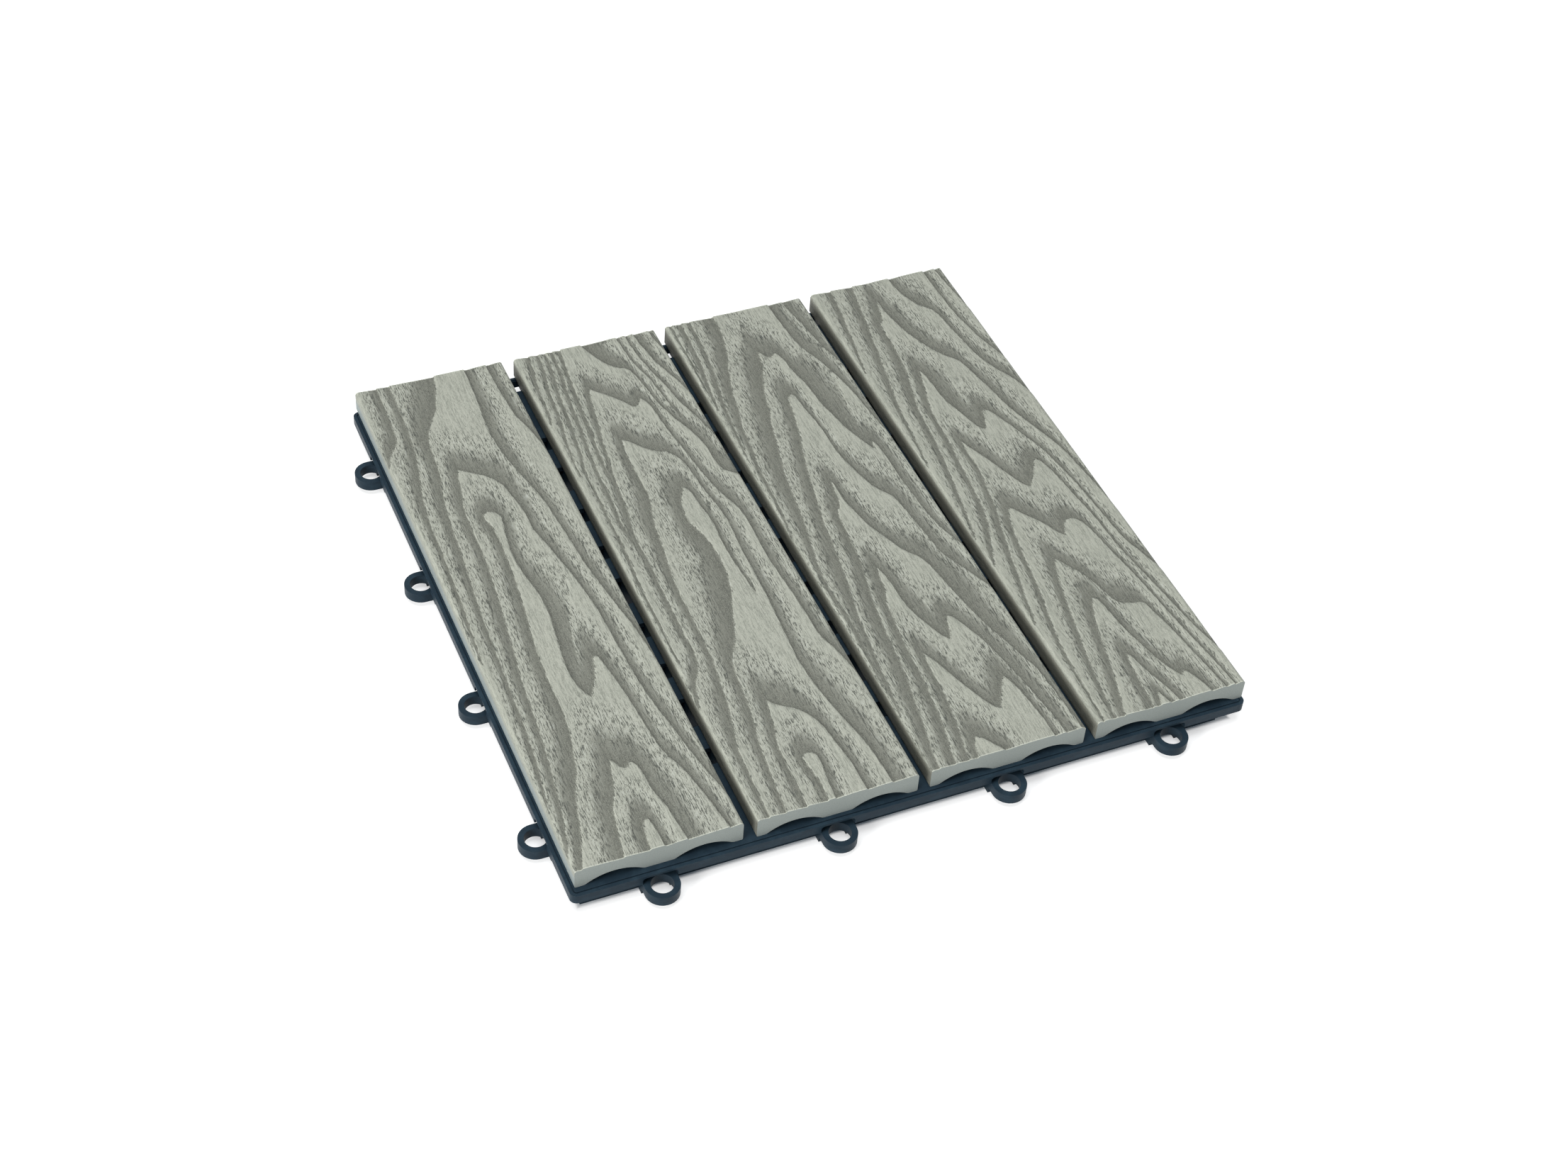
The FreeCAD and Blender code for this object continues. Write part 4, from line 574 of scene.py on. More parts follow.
class Paint:
    """Builds one material's node tree around a Principled shader."""

    def __init__(self, name: str) -> None:
        """Starts an empty material.

        Args:
            name: The material's name.
        """
        self.material = bpy.data.materials.new(name)
        self.material.use_nodes = True
        self.tree = self.material.node_tree
        self.tree.nodes.clear()
        self.output = self.tree.nodes.new("ShaderNodeOutputMaterial")

    def node(
        self, kind: str, settings: dict[str, object] | None = None, **values: object
    ) -> bpy.types.Node:
        """Adds a node.

        Args:
            kind: The node's type without its ShaderNode prefix.
            settings: The node's own settings, set first.
            **values: Values or wires of its sockets, named with _ for a space.

        Returns:
            The new node.
        """
        node = self.tree.nodes.new("ShaderNode" + kind)
        for key, value in (settings or {}).items():
            setattr(node, key, value)
        for key, value in values.items():
            self.feed(node.inputs[key.replace("_", " ")], value)
        return node

    def feed(self, socket: bpy.types.NodeSocket, value: object) -> None:
        """Links a wire to a socket, or writes a plain value on it.

        Args:
            socket: The socket.
            value: A wire, a number, a vector or a colour.
        """
        if isinstance(value, Wire):
            self.tree.links.new(value.socket, socket)
        elif socket.type == "RGBA" and len(value) == 3:
            socket.default_value = (*value, 1.0)
        else:
            socket.default_value = value

    def wire(self, node: bpy.types.Node, name: str) -> Wire:
        """A node's output of that name as a wire."""
        return Wire(self.tree, node.outputs[name])

    def attribute(self, name: str) -> Wire:
        """A number that the mesh carries at each point."""
        return self.wire(self.node("Attribute", {"attribute_name": name}), "Fac")

    def place(self, scale: Triple) -> Wire:
        """Adds object coordinates in millimetres.

        Args:
            scale: The factor along each axis.

        Returns:
            The coordinates as a wire.
        """
        coord = self.wire(self.node("TexCoord"), "Object")
        factors = tuple(value / MM for value in scale)
        mapping = self.node("Mapping", {"vector_type": "POINT"}, Vector=coord, Scale=factors)
        return self.wire(mapping, "Vector")

    def noise(self, scale: Triple, detail: float = 2.0, roughness: float = 0.5) -> Wire:
        """Adds noise whose patches have about 1 / scale millimetres along each axis.

        Args:
            scale: The factor along each axis.
            detail: How many finer layers it has.
            roughness: How strong the finer layers are.

        Returns:
            The noise, 0 to 1.
        """
        place = self.place(scale)
        node = self.node("TexNoise", Vector=place, Scale=1.0, Detail=detail, Roughness=roughness)
        return self.wire(node, "Fac")

    def blend(self, share: Wire, first: "Wire | Colour", second: "Wire | Colour") -> Wire:
        """Mixes two colours.

        Args:
            share: Share of the second colour, 0 to 1.
            first: The first colour.
            second: The second colour.

        Returns:
            The mixed colour.
        """
        node = self.tree.nodes.new("ShaderNodeMix")
        node.data_type = "RGBA"
        self.feed(node.inputs[0], share)
        self.feed(node.inputs[6], first)
        self.feed(node.inputs[7], second)
        return Wire(self.tree, node.outputs[2])

    def bump(
        self, height: Wire, distance: float, strength: float, under: Wire | None = None
    ) -> Wire:
        """Bends the normal by a height.

        Args:
            height: The height, 0 to 1.
            distance: What a height of 1 stands for, in metres.
            strength: Share of the bend that is used.
            under: A normal already bent, if this one goes on top of it.

        Returns:
            The bent normal.
        """
        node = self.node("Bump", Height=height, Distance=distance, Strength=strength)
        if under is not None:
            self.feed(node.inputs["Normal"], under)
        return self.wire(node, "Normal")

    def finish(self, **values: object) -> bpy.types.Material:
        """Ends the tree in a Principled shader.

        Args:
            **values: Values or wires of the shader's sockets, named with _ for a space.

        Returns:
            The finished material.
        """
        shader = self.node("BsdfPrincipled", **values)
        self.tree.links.new(shader.outputs["BSDF"], self.output.inputs["Surface"])
        return self.material


@dataclass(frozen=True)
class PressedComposite:
    """Wood and plastic composite with a wood grain pressed and tinted into its face."""

    pale: Colour = from_screen(188, 190, 177)
    worn: Colour = from_screen(156, 159, 147)
    tint: Colour = from_screen(92, 93, 85)
    pore: Colour = from_screen(70, 74, 70)
    bloom: Colour = from_screen(205, 211, 206)
    # Painted shade: the darker brown of the long sides and underside, for the shade between the slats.
    flank: Colour = from_screen(114, 113, 103)
    planed: Colour = from_screen(160, 170, 169)
    # Pale burr line along the ends' top edges, painted to stand in for their highlight.
    burr_highlight: Colour = from_screen(210, 213, 199)
    burr_highlight_share: float = 0.85
    tint_share: float = 0.92
    pore_share: float = 0.78
    bloom_share: float = 0.3
    painted_shade_share: float = 0.75
    pore_depth: float = 0.3 * MM
    peel_depth: float = 0.16 * MM
    speckle_scale: Triple = (4.2, 2.4, 4.2)
    dash_scale: Triple = (2.3, 0.32, 2.3)
    streak_scale: Triple = (1.8, 0.08, 1.8)
    peel_scale: Triple = (0.9, 0.5, 0.9)
    fade_range: Pair = (0.25, 0.62)
    fade_unrest: Triple = (0.45, 0.3, 0.3)
    core_range: Pair = (0.6, 1.0)
    core_share: float = 0.2
    uneven_weights: Triple = (2.25, 2.2, 0.7)
    pore_range: Pair = (0.53, 0.63)
    pore_streaks: float = 0.3
    pore_least: float = 0.25
    pore_gather: Pair = (0.03, 0.2)
    pore_drown: Pair = (0.5, 0.8)
    pore_drowned: float = 0.55
    bloom_range: Pair = (0.42, 0.33)
    bloom_streaks: float = 0.2
    bloom_gather: Pair = (0.04, 0.25)
    bloom_drown: Pair = (0.45, 0.8)
    mottle_range: Pair = (0.36, 0.64)
    mottle_weights: Triple = (0.5, 0.2, 0.3)
    burr_highlight_range: Pair = (0.5, 0.75)
    burr_highlight_unrest: float = 0.8
    roughness: float = 0.6
    tint_roughness: float = 0.12
    specular: float = 0.35

    def material(self) -> bpy.types.Material:
        """Lays the tint, its bloom, the pores and the pale end burr, painted as a highlight on the ends'
        top edges, over a mottled ground.

        Returns:
            The material.
        """
        paint = Paint("pressed_composite")
        band, flank, burr_highlight = (paint.attribute(name) for name in ("band", "flank", "burr_highlight"))
        speckle = paint.noise(self.speckle_scale, 2.0, 0.6)
        dashes = paint.noise(self.dash_scale, 2.2, 0.75)
        streaks = paint.noise(self.streak_scale, 2.0, 0.6)
        peel = paint.noise(self.peel_scale, 2.0, 0.6)
        tinted = self.tinted(band, speckle, dashes, streaks)
        pored = self.pored(band, dashes, streaks)
        bloomed = self.bloomed(band, dashes, streaks)
        of_speckle, of_dashes, of_streaks = self.mottle_weights
        mottle = speckle * of_speckle + dashes * of_dashes + streaks * of_streaks
        start, by_speckle, by_dashes = self.uneven_weights
        uneven = (start - speckle * by_speckle - dashes * by_dashes).clamped()
        ragged = (burr_highlight + (speckle - 0.5) * self.burr_highlight_unrest).ramp(*self.burr_highlight_range)
        base = paint.blend(mottle.ramp(*self.mottle_range), self.pale, self.worn)
        # Painted shade: the sides between the slats and the underside darken towards the flank colour.
        base = paint.blend(flank.clamped() * self.painted_shade_share, base, self.flank)
        base = paint.blend((0.0 - flank).clamped(), base, self.planed)
        base = paint.blend(tinted * uneven * self.tint_share, base, self.tint)
        base = paint.blend(bloomed * self.bloom_share, base, self.bloom)
        base = paint.blend(pored * self.pore_share, base, self.pore)
        # Painted highlight: the pale burr line along the ends' top edges.
        base = paint.blend(ragged * self.burr_highlight_share, base, self.burr_highlight)
        peel_normal = paint.bump(peel, self.peel_depth, 0.7)
        pitted = paint.bump(1.0 - pored, self.pore_depth, 0.8, peel_normal)
        return paint.finish(
            Base_Color=base,
            Roughness=self.roughness + tinted * self.tint_roughness,
            Normal=pitted,
            Specular_IOR_Level=self.specular,
        )

    def tinted(self, band: Wire, speckle: Wire, dashes: Wire, streaks: Wire) -> Wire:
        """Strength of the tint: even at a ring's edge and broken into dashes where it fades.

        Args:
            band: The grain's depth at each point.
            speckle: The finest noise.
            dashes: Noise of short dashes along the grain.
            streaks: Noise of long streaks along it.

        Returns:
            The strength, 0 to 1.
        """
        by_dashes, by_streaks, by_speckle = self.fade_unrest
        unrest = (dashes - 0.5) * by_dashes + (streaks - 0.5) * by_streaks
        unrest = unrest + (speckle - 0.5) * by_speckle
        broken = band + unrest * (1.0 - band)
        fade = broken.ramp(*self.fade_range) * (1.0 - self.core_share)
        return fade + band.ramp(*self.core_range) * self.core_share

    def pored(self, band: Wire, dashes: Wire, streaks: Wire) -> Wire:
        """Dark pores, thickest where the tint starts and thinner in its core.

        Args:
            band: The grain's depth at each point.
            dashes: Noise of short dashes along the grain.
            streaks: Noise of long streaks along it.

        Returns:
            The strength of the pores, 0 to 1.
        """
        pores = (dashes + (streaks - 0.5) * self.pore_streaks).ramp(*self.pore_range)
        gather = self.pore_least + band.ramp(*self.pore_gather) * (1.0 - self.pore_least)
        return pores * gather * (1.0 - band.ramp(*self.pore_drown) * self.pore_drowned)

    def bloomed(self, band: Wire, dashes: Wire, streaks: Wire) -> Wire:
        """Pale dashes among the fading tint.

        Args:
            band: The grain's depth at each point.
            dashes: Noise of short dashes along the grain.
            streaks: Noise of long streaks along it.

        Returns:
            The strength of the bloom, 0 to 1.
        """
        pale = (dashes + (streaks - 0.5) * self.bloom_streaks).ramp(*self.bloom_range)
        return pale * band.ramp(*self.bloom_gather) * (1.0 - band.ramp(*self.bloom_drown))


@dataclass(frozen=True)
class SawnComposite:
    """The same composite where the saw went through: paler, cooler and finely scored."""

    cut: Colour = from_screen(169, 176, 171)
    fibre: Colour = from_screen(128, 136, 133)
    fibre_share: float = 0.3
    fibre_range: Pair = (0.4, 0.7)
    score_depth: float = 0.06 * MM
    mark_scale: Triple = (1.2, 1.2, 0.25)
    fibre_scale: Triple = (2.4, 2.4, 2.4)
    roughness: float = 0.66
    specular: float = 0.3

    def material(self) -> bpy.types.Material:
        """Fine upright saw marks over a speckle of fibres.

        Returns:
            The material.
        """
        paint = Paint("sawn_composite")
        marks = paint.noise(self.mark_scale, 2.0, 0.6)
        fibres = paint.noise(self.fibre_scale, 3.0, 0.6)
        speckled = fibres.ramp(*self.fibre_range) * self.fibre_share
        return paint.finish(
            Base_Color=paint.blend(speckled, self.cut, self.fibre),
            Roughness=self.roughness + fibres * 0.15,
            Normal=paint.bump(marks * 0.6 + fibres * 0.4, self.score_depth, 0.7),
            Specular_IOR_Level=self.specular,
        )


@dataclass(frozen=True)
class MouldedPlastic:
    """Blue-grey moulded polypropylene with a fine spark-eroded skin."""

    body: Colour = from_screen(35, 50, 61)
    dust_and_shade: Colour = from_screen(47, 66, 78)
    grain_depth: float = 0.05 * MM
    wave_depth: float = 0.15 * MM
    skin_scale: Triple = (4.0, 4.0, 4.0)
    wave_scale: Triple = (0.06, 0.06, 0.12)
    drift_scale: Triple = (0.15, 0.15, 0.3)
    drift_range: Pair = (0.4, 0.7)
    drift_share: float = 0.5
    roughness: float = 0.36
    specular: float = 0.1

    def material(self) -> bpy.types.Material:
        """Fine skin over slow sink waves, a little paler in drifts.

        Returns:
            The material.
        """
        paint = Paint("moulded_plastic")
        skin = paint.noise(self.skin_scale, 2.0, 0.6)
        waves = paint.noise(self.wave_scale, 1.0, 0.4)
        drift = paint.noise(self.drift_scale, 3.0, 0.6)
        base = paint.blend(drift.ramp(*self.drift_range) * self.drift_share, self.body, self.dust_and_shade)
        slow = paint.bump(waves, self.wave_depth, 0.8)
        fine = paint.bump(skin, self.grain_depth, 0.5, slow)
        return paint.finish(
            Base_Color=base,
            Roughness=self.roughness + skin * 0.1 + drift * 0.06,
            Normal=fine,
            Specular_IOR_Level=self.specular,
        )


@dataclass(frozen=True)
class ScrewSteel:
    """Zinc-plated steel with a brushed, slightly clouded skin."""

    plate: Colour = from_screen(176, 178, 176)
    cloud: Colour = from_screen(140, 142, 140)
    cloud_scale: Triple = (0.8, 0.8, 0.8)
    scratch_scale: Triple = (6.0, 0.6, 6.0)
    scratch_depth: float = 0.02 * MM
    roughness: float = 0.28

    def material(self) -> bpy.types.Material:
        """Clouded plating with fine scratches.

        Returns:
            The material.
        """
        paint = Paint("screw_steel")
        cloud = paint.noise(self.cloud_scale, 3.0, 0.6)
        scratch = paint.noise(self.scratch_scale, 2.0, 0.5)
        return paint.finish(
            Base_Color=paint.blend(cloud, self.plate, self.cloud),
            Metallic=1.0,
            Roughness=self.roughness + cloud * 0.2,
            Normal=paint.bump(scratch, self.scratch_depth, 0.5),
        )


@dataclass(frozen=True)
class StudioPaper:
    """White paper floor, pure white to the camera and still taking a shadow."""

    sheet: Colour = (0.8, 0.8, 0.8)
    fibre_scale: Triple = (0.8, 0.8, 0.8)
    fibre_depth: float = 0.02 * MM
    near: Colour = (0.52, 0.52, 0.52)
    far: Colour = (0.95, 0.95, 0.95)
    far_from: float = 500.0
    far_to: float = 2500.0
    # Painted shade: dim navy glow of the floor under the tile, seen through its openings.
    painted_shade_glow: Colour = (0.013, 0.024, 0.036)
    covered_middle: Pair = (3.5, 5.0)
    covered_half: Pair = (146.0, 147.5)
    covered_soft: float = 2.0

    def material(self) -> bpy.types.Material:
        """Matt paper with a glow that only camera and reflections see, a dim navy painted shade under the
        tile.

        Returns:
            The material.
        """
        paint = Paint("studio_paper")
        fibre = paint.noise(self.fibre_scale, 2.0, 0.5)
        seen = seen_plainly(paint.tree)
        place = paint.node("VectorMath", {"operation": "SUBTRACT"})
        paint.feed(place.inputs[0], paint.place((1.0, 1.0, 1.0)))
        paint.feed(place.inputs[1], (*self.covered_middle, 0.0))
        split = paint.node("SeparateXYZ", Vector=paint.wire(place, "Vector"))
        across, along = paint.wire(split, "X"), paint.wire(split, "Y")
        past_side = across.join("ABSOLUTE", across) - self.covered_half[0]
        past_end = along.join("ABSOLUTE", along) - self.covered_half[1]
        past = past_side.join("MAXIMUM", past_side, past_end)
        open_floor = paint.blend(past.ramp(self.far_from, self.far_to), self.near, self.far)
        # Under the tile the glow is the painted shade colour instead of white.
        lit = paint.blend(past.ramp(-self.covered_soft, 0.0), self.painted_shade_glow, open_floor)
        grain = paint.bump(fibre, self.fibre_depth, 0.3)
        matt = paint.node("BsdfDiffuse", Color=self.sheet, Roughness=0.5, Normal=grain)
        glow = paint.node("Emission", Color=paint.blend(seen, (0.0, 0.0, 0.0), lit), Strength=1.0)
        both = paint.node("AddShader")
        paint.tree.links.new(matt.outputs[0], both.inputs[0])
        paint.tree.links.new(glow.outputs[0], both.inputs[1])
        paint.tree.links.new(both.outputs[0], paint.output.inputs["Surface"])
        return paint.material


@dataclass
class Grain:
    """Pressed growth rings of one slat, worked out from its traced edges."""

    edges: tuple[tuple[Triple, ...], ...]
    stretch: float = 0.3
    edge_width: float = 0.3
    reach: float = 0.9
    shoulder: float = 1.4
    floor: float = 0.03
    least_width: float = 0.3

    def darkness(self, across: np.ndarray, along: np.ndarray) -> np.ndarray:
        """Tint at points of the face.

        Args:
            across: The points' places across the slat field, mm.
            along: The points' places along it, mm.

        Returns:
            1 at a ring's crisp edge, fading to 0 over its width, and 0 on the pale side.
        """
        dark = np.zeros(across.shape)
        for edge in self.edges:
            signed, width = self.distance(np.array(edge), across, along)
            depth = np.clip(signed, 0.0, None) / (width * self.reach)
            fade = (np.exp(-depth ** self.shoulder) - self.floor) / (1.0 - self.floor)
            crisp = 1.0 + signed / self.edge_width
            dark = np.maximum(dark, np.where(signed >= 0.0, fade, crisp))
        return np.clip(dark, 0.0, 1.0)

    def distance(
        self, edge: np.ndarray, across: np.ndarray, along: np.ndarray
    ) -> tuple[np.ndarray, np.ndarray]:
        """Distance to an edge with lengths along the grain shortened.

        Args:
            edge: The edge's points, (across, along, fade width).
            across: The points' places across the slat field, mm.
            along: The points' places along it, mm.

        Returns:
            The distance, above 0 on the dark side, and the fade width at the nearest place.
        """
        starts, ends = edge[:-1], edge[1:]
        run = (ends - starts)[:, :2] * (1.0, self.stretch)
        normal = np.stack((-run[:, 1], run[:, 0]), axis=1)
        normal /= np.linalg.norm(normal, axis=1)[:, None]
        best = np.full(across.shape, np.inf)
        side = np.zeros(across.shape)
        width = np.ones(across.shape)
        for index, step in enumerate(run):
            gap_x = across - starts[index, 0]
            gap_y = (along - starts[index, 1]) * self.stretch
            share = (gap_x * step[0] + gap_y * step[1]) / (step @ step)
            held = np.clip(share, 0.0, 1.0)
            off_x = gap_x - held * step[0]
            off_y = gap_y - held * step[1]
            far = np.hypot(off_x, off_y)
            before = normal[max(index - 1, 0)]
            after = normal[min(index + 1, len(run) - 1)]
            lean_x, lean_y = (
                np.where(share < 0, here + back, np.where(share > 1, here + ahead, here))
                for here, back, ahead in zip(normal[index], before, after)
            )
            nearer = far < best
            best = np.where(nearer, far, best)
            side = np.where(nearer, np.sign(off_x * lean_x + off_y * lean_y), side)
            spread = edge[index, 2] + held * (edge[index + 1, 2] - edge[index, 2])
            width = np.where(nearer, spread, width)
        return best * np.where(side == 0, 1, side), np.maximum(width, self.least_width)


@dataclass
class Slat:
    """One slat, arched underneath, rounded above, the grain pressed in. Lengths in mm."""

    node: str
    grain: Grain
    shift_back: float = 0.0
    outside: Outside = Outside.NEITHER
    width: float = 69.5
    length: float = 295.0
    thick: float = 10.0
    edge_r: float = 1.5
    foot_r: float = 0.5
    foot_land: float = 1.5
    arch_width: float = 26.0
    arch_height: float = 3.8
    arch_foot_r: float = 3.0
    arch_spread: float = 37.0
    field_middle: Pair = (4.6, 5.9)
    top_step: float = 0.5
    row_step: float = 1.1
    # Depth below the face, mm, over which the painted shade of the sides sets in.
    painted_shade_range: Pair = (0.6, 2.2)
    planed_range: Pair = (3.5, 5.0)
    side_range: Pair = (1.5, 3.0)
    tint_range: Pair = (0.02, 0.2)
    relief: float = 0.75
    relief_bend: float = 0.7
    sharp_angle: float = 35.0
    middle: float = field(default=0.0, init=False)
    bottom: float = field(default=12.0, init=False)

    def build(self, finishes: list[bpy.types.Material]) -> bpy.types.Object:
        """Makes the slat in place.

        Args:
            finishes: The pressed and the sawn finish.

        Returns:
            The slat's object.
        """
        low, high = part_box(self.node)
        self.middle = (low[0] + high[0]) / 2 / MM
        self.bottom = low[2] / MM
        section, top = self.section()
        rows = round(self.length / self.row_step)
        along = self.field_middle[1] + np.linspace(-self.length / 2, self.length / 2, rows + 1)
        points, band = self.surface(section, top, along)
        flank = np.broadcast_to(self.flank(section), band.shape)
        # Painted highlight: the top edges of both ends carry the pale burr line.
        burr_highlight = np.zeros(band.shape)
        burr_highlight[[0, -1]] = top
        mesh = self.closed_mesh(points, len(section))
        for name, value in (("band", band), ("flank", flank), ("burr_highlight", burr_highlight)):
            mesh.attributes.new(name, "FLOAT", "POINT").data.foreach_set("value", value.ravel())
        for finish in finishes:
            mesh.materials.append(finish)
        return add_object("slat_" + self.node[-1], mesh)

    def flank(self, section: np.ndarray) -> np.ndarray:
        """Shares out the painted shade and the planed finish of the long sides.

        Args:
            section: The outline of the end face.

        Returns:
            How much painted shade each of its points takes, up to 1, or how cleanly planed, down to -1.
        """
        fall = self.thick - section[:, 1]
        inward = self.width / 2 - section[:, 0] * self.outside.value
        # Painted shade, stronger further below the face; near an outer side the planed colour takes over.
        dust_and_shade = smooth_step(*self.painted_shade_range, fall)
        planed = -smooth_step(*self.planed_range, fall)
        return dust_and_shade + (planed - dust_and_shade) * (1.0 - smooth_step(*self.side_range, inward))

    def arch(self, middle: float, steps: int = 7) -> list[Pair]:
        """Points (across, height) of an underside arch, from right to left.

        Args:
            middle: The arch's middle across the slat, mm.
            steps: Points on each foot rounding and on each half of the crown.

        Returns:
            The points: a foot rounding, the crown and the other foot rounding.
        """
        half, rise, foot = self.arch_width / 2, self.arch_height, self.arch_foot_r
        crown = (half * half + rise * rise) / (2 * rise) - foot
        lean = math.asin(half / (crown + foot))
        run = []
        for index in range(steps):
            turn = lean * index / steps
            run.append((middle + half - foot * math.sin(turn), foot - foot * math.cos(turn)))
        for index in range(2 * steps + 1):
            turn = lean * (1 - index / steps)
            run.append((middle + crown * math.sin(turn), rise - crown + crown * math.cos(turn)))
        for index in range(steps):
            turn = lean * (1 - (index + 1) / steps)
            run.append((middle - half + foot * math.sin(turn), foot - foot * math.cos(turn)))
        return run

    def section(self) -> tuple[np.ndarray, np.ndarray]:
        """Outline of the end face.

        Returns:
            The outline's points (across, height), anticlockwise from the lower left, and
            how much of the relief each point takes.
        """
        half, radius = self.width / 2, self.edge_r
        ease = self.foot_r
        inset_low = ((0.0, ease), (0.3 * ease, 0.3 * ease), (ease, 0.0), (self.foot_land, 0.0))
        lower = [(inset - half, height) for inset, height in inset_low]
        for place in (-self.arch_spread / 2, self.arch_spread / 2):
            lower += self.arch(place)[::-1]
        lower += [(half - inset, height) for inset, height in inset_low[::-1]]
        side = [(half, self.thick * share) for share in (0.2, 0.45, 0.7)]
        corner = [
            (half - radius + radius * math.cos(turn), self.thick - radius + radius * math.sin(turn))
            for turn in np.linspace(0, math.pi / 2, 6)
        ]
        count = round((self.width - 2 * radius) / self.top_step)
        places = np.linspace(half - radius, radius - half, count + 1)[1:-1]
        face = [(across, self.thick) for across in places]
        left = [(-across, height) for across, height in (side + corner)[::-1]]
        points = np.array(lower + side + corner + face + left)
        share = smooth_step(self.thick - radius, self.thick - radius * 0.3, points[:, 1])
        return points, share

    def surface(
        self, section: np.ndarray, top: np.ndarray, along: np.ndarray
    ) -> tuple[np.ndarray, np.ndarray]:
        """Points of the skin, row by row, and the tint at each.

        Args:
            section: The outline of the end face.
            top: How much of the relief each of its points takes.
            along: Where the rows stand along the slat, mm.

        Returns:
            The places of the points and their tint.
        """
        across = np.broadcast_to(self.middle + section[:, 0], (len(along), len(section)))
        ahead = np.broadcast_to(along[:, None], across.shape)
        band = self.grain.darkness(across - self.field_middle[0], ahead - self.field_middle[1])
        band = band * smooth_step(*self.tint_range, top)[None, :]
        pressed = self.relief * band ** self.relief_bend * top[None, :]
        height = self.bottom + section[None, :, 1] - pressed
        return np.stack((across, ahead + self.shift_back, height), axis=-1), band

    def closed_mesh(self, points: np.ndarray, count: int) -> bpy.types.Mesh:
        """Joins the rows of points and closes them by a flat face at either end.

        Args:
            points: The places of the points, row by row, mm.
            count: Points in a row.

        Returns:
            The mesh, in metres.
        """
        rows = points.shape[0]
        mesh = bpy.data.meshes.new("slat_" + self.node[-1])
        ring = np.arange(count)
        after = (ring + 1) % count
        base = (np.arange(rows - 1) * count)[:, None]
        above = base + count
        faces = np.stack((base + ring, base + after, above + after, above + ring), axis=-1)
        quads = faces.reshape(-1, 4)
        caps = [list(range(count))[::-1], list(range((rows - 1) * count, rows * count))]
        mesh.from_pydata((points.reshape(-1, 3) * MM).tolist(), [], quads.tolist() + caps)
        mesh.polygons.foreach_set("use_smooth", [True] * len(quads) + [False] * 2)
        slots = [Side.PRESSED.value] * len(quads) + [Side.SAWN.value] * 2
        mesh.polygons.foreach_set("material_index", slots)
        mesh.update()
        mark_sharp(mesh, self.sharp_angle)
        return mesh


def mark_sharp(mesh: bpy.types.Mesh, degrees: float) -> None:
    """Keeps edges crisp where two faces meet at an angle.

    Args:
        mesh: The mesh.
        degrees: The angle above which an edge is crisp.
    """
    work = bmesh.new()
    work.from_mesh(mesh)
    limit = math.radians(degrees)
    for edge in work.edges:
        edge.smooth = len(edge.link_faces) == 2 and edge.calc_face_angle(0.0) < limit
    work.to_mesh(mesh)
    work.free()


@dataclass
class Grid:
    """Moulded grid under the slats, with its edges broken. Lengths in mm, angles in degrees."""

    node: str = "base_grid"
    edge_width: float = 0.22
    merge: float = 0.002
    flat_angle: float = 0.5
    edge_angle: float = 50.0
    sharp_angle: float = 34.0

    def build(self, source: bpy.types.Object, finish: bpy.types.Material) -> bpy.types.Object:
        """Copies the moulding, merges its facets and breaks its edges.

        Args:
            source: The node that carries the moulding's shape.
            finish: The plastic.

        Returns:
            The grid's object.
        """
        mesh = bpy.data.meshes.new("grid")
        work = bmesh.new()
        work.from_mesh(source.data)
        bmesh.ops.remove_doubles(work, verts=work.verts, dist=self.merge * MM)
        bmesh.ops.dissolve_degenerate(work, edges=work.edges, dist=self.merge * MM)
        bmesh.ops.dissolve_limit(
            work,
            angle_limit=math.radians(self.flat_angle),
            verts=work.verts,
            edges=work.edges,
            use_dissolve_boundaries=False,
        )
        for face in work.faces:
            face.smooth = True
        work.to_mesh(mesh)
        work.free()
        mesh.materials.clear()
        mesh.materials.append(finish)
        for polygon in mesh.polygons:
            polygon.material_index = 0
        grid = add_object("grid", mesh)
        self.break_edges(grid)
        mark_sharp(grid.data, self.sharp_angle)
        return grid

    def break_edges(self, grid: bpy.types.Object) -> None:
        """Puts a small chamfer on every sharp edge and makes it part of the mesh.

        Args:
            grid: The grid's object.
        """
        bevel = grid.modifiers.new("edges", "BEVEL")
        bevel.width = self.edge_width * MM
        bevel.segments = 1
        bevel.limit_method = "ANGLE"
        bevel.angle_limit = math.radians(self.edge_angle)
        bevel.use_clamp_overlap = True
        make_plain(grid)


